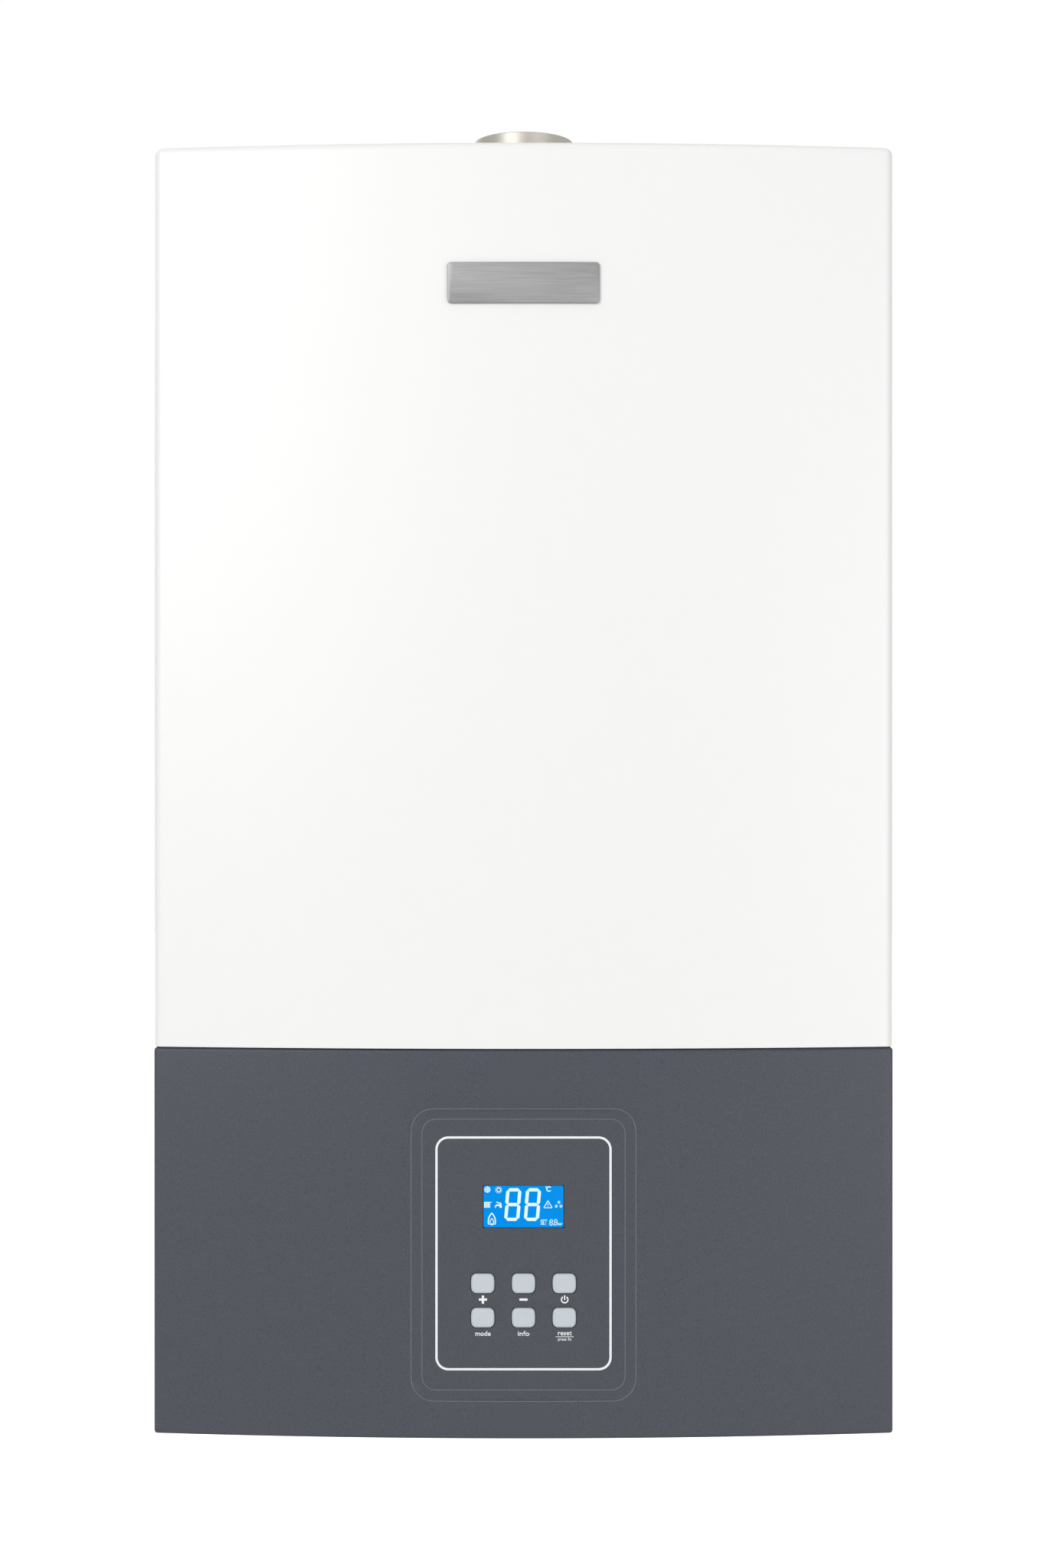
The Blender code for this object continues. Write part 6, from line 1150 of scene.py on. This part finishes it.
def pipe(node, radius, bend, corners, nut_lengths):
    """A bent pipe with a union nut at both ends, which stands for the CAD node."""
    curve = bpy.data.curves.new(node + "_tube", "CURVE")
    curve.dimensions = "3D"
    curve.bevel_depth = radius
    curve.bevel_resolution = 8
    curve.use_fill_caps = True
    route = bent_route(corners, bend)
    line = curve.splines.new("POLY")
    line.points.add(len(route) - 1)
    for point, place in zip(line.points, route):
        point.co = (*place, 1.0)
    tube = bpy.data.objects.new(node + "_tube", curve)
    bpy.context.scene.collection.objects.link(tube)
    take(tube)
    bpy.ops.object.convert(target="MESH")
    tube = bpy.context.object
    edit(tube, "VERT")
    bpy.ops.mesh.remove_doubles(threshold=1e-6)
    bpy.ops.mesh.normals_make_consistent(inside=False)
    smooth(tube, 50.0)
    fit(tube, drawn_copper, "root", node)
    ends = (("first", route[0], route[1]), ("last", route[-1], route[-2]))
    for (end, tip, inner), length in zip(ends, nut_lengths):
        hex_nut(node + "_nut_" + end, tip, tip + (inner - tip).normalized() * length, radius, union_reach)


# Each route goes from port to port, and turns in the clear space beside the pump and the chamber
union_reach = 0.0045
block_level = -0.3072
riser_x, riser_foot, flow_y, return_y_inside, chamber_port_z = 0.172, -0.110, -0.2015, -0.0935, 0.1573
gas_y, manifold_y = -0.058, -0.2325
pipe("gas_pipe", 0.008, 0.018,
     [(0.0, gas_y, -0.2444), (0.0, gas_y, -0.1544), (0.0, manifold_y, -0.0663), (0.0, manifold_y, -0.0263)],
     (0.014, 0.012))
pipe("flow_riser", 0.009, 0.014,
     [(-0.1463, flow_y, chamber_port_z), (-riser_x, flow_y, chamber_port_z), (-riser_x, flow_y, riser_foot),
      (-riser_x, -0.075, -0.200), (-riser_x, -0.075, block_level), (-0.1503, -0.075, block_level)],
     (0.010, 0.0075))
pipe("return_riser", 0.009, 0.014,
     [(0.070, -0.080, -0.1497), (0.070, -0.080, riser_foot), (riser_x, return_y_inside, riser_foot),
      (riser_x, return_y_inside, chamber_port_z), (0.1463, return_y_inside, chamber_port_z)], (0.013, 0.010))
pipe("vessel_pipe", 0.005, 0.015,
     [(0.0, -0.0333, -0.1103), (0.0, -0.0333, -0.1403), (0.051, -0.065, -0.1903), (0.051, -0.065, -0.2844)],
     (0.011, 0.011))

# Knobs and taps. The safety valve's red knob and the blue filling knob are moulded nylon, and the
# drain cock is brass with a slot for a screwdriver.

red_nylon = moulded_plastic("red_nylon", "8E1512", "B3211C", 0.38)
blue_nylon = moulded_plastic("blue_nylon", "164A94", "2461B4", 0.38)
dressed("safety_knob", "safety_knob_cap", "safety_knob", red_nylon, 0.0005)
dressed("filling_knob", "filling_knob_grip", "filling_knob", blue_nylon, 0.0005)
dressed("drain_cock", "drain_cock_body", "drain_cock", machined_brass, 0.0004)
bpy.data.objects.remove(screw_model, do_unlink=True)

# Studio. A pale floor well below the boiler, a plain white surround, a soft key lamp from the
# upper left, weaker ones from the right, from above and from behind, and the camera level with
# the middle of the front.

floor_z = -0.95
camera_height = 0.0033
camera_distance = 1.40
view_height = 0.8454
sensor_height = 36.0


def seen_rays(owner):
    """Gives 1 to the rays that show the surround: from the camera, reflected or through glass."""
    ray = add_node(owner, "LightPath")
    direct = add_node(owner, "Math", {"operation": "MAXIMUM"},
                      {0: (ray, "Is Camera Ray"), 1: (ray, "Is Glossy Ray")})
    seen = add_node(owner, "Math", {"operation": "MAXIMUM"},
                    {0: (direct, 0), 1: (ray, "Is Transmission Ray")})
    return (seen, 0)


# Backdrop paper is matt and pale. It lightens to white away from the boiler and keeps its shadow
paper = new_material("backdrop_paper")
place = add_node(paper, "TexCoord")
distance = add_node(paper, "VectorMath", {"operation": "LENGTH"}, {0: (place, "Object")})
fade = add_node(paper, "MapRange", {"From Min": 0.9, "From Max": 1.9, "To Min": 0.30, "To Max": 1.0},
                {"Value": (distance, "Value")})
matt = add_node(paper, "BsdfDiffuse", {"Color": linear("E8E8E8")})
glow = add_node(paper, "Emission", {"Color": linear("FFFFFF")}, {"Strength": (fade, "Result")})
bright = add_node(paper, "AddShader", links={0: (matt, 0), 1: (glow, 0)})
paper_mix = add_node(paper, "MixShader", links={0: seen_rays(paper), 1: (matt, 0), 2: (bright, 0)})
add_node(paper, "OutputMaterial", links={"Surface": (paper_mix, 0)})

rest()
bpy.ops.mesh.primitive_plane_add(size=30.0)
floor = bpy.context.object
floor.name = "studio_floor"
moved(floor, (0.0, 0.0, floor_z))
paint(floor, paper)

world = bpy.data.worlds.new("studio_world")
bpy.context.scene.world = world
world.use_nodes = True
world.node_tree.nodes.clear()
ambient = add_node(world, "Background", {"Color": linear("FFFFFF"), "Strength": 0.42})
surround = add_node(world, "Background", {"Color": linear("FFFFFF"), "Strength": 1.0})
world_mix = add_node(world, "MixShader", links={0: seen_rays(world), 1: (ambient, 0), 2: (surround, 0)})
add_node(world, "OutputWorld", links={"Surface": (world_mix, 0)})


def lamp(name, place, aim, size, power):
    rest()
    bpy.ops.object.light_add(type="AREA", location=place)
    light = bpy.context.object
    light.name = name
    light.data.size = size
    light.data.energy = power
    light.rotation_euler = (Vector(aim) - Vector(place)).to_track_quat("-Z", "Y").to_euler()


lamp("key_lamp", (-1.5, -2.9, 1.2), (0.0, -0.2, 0.0), 1.8, 40.0)
lamp("fill_lamp", (1.9, -2.8, 0.1), (0.0, -0.2, 0.0), 1.8, 21.5)
lamp("top_lamp", (0.2, -0.9, 2.4), (0.0, -0.2, 0.2), 1.4, 2.5)
lamp("rear_lamp", (-1.2, 2.2, 1.6), (0.0, -0.1, 0.0), 1.8, 14.0)

rest()
bpy.ops.object.camera_add(location=(0.0, cover_low.y - camera_distance, camera_height),
                          rotation=(radians(90.0), 0.0, 0.0))
camera = bpy.context.object
camera.name = "photo_camera"
camera.data.sensor_fit = "VERTICAL"
camera.data.sensor_height = sensor_height
camera.data.lens = sensor_height * camera_distance / view_height
bpy.context.scene.camera = camera
bpy.context.scene.view_settings.view_transform = "Standard"

bpy.context.view_layer.update()
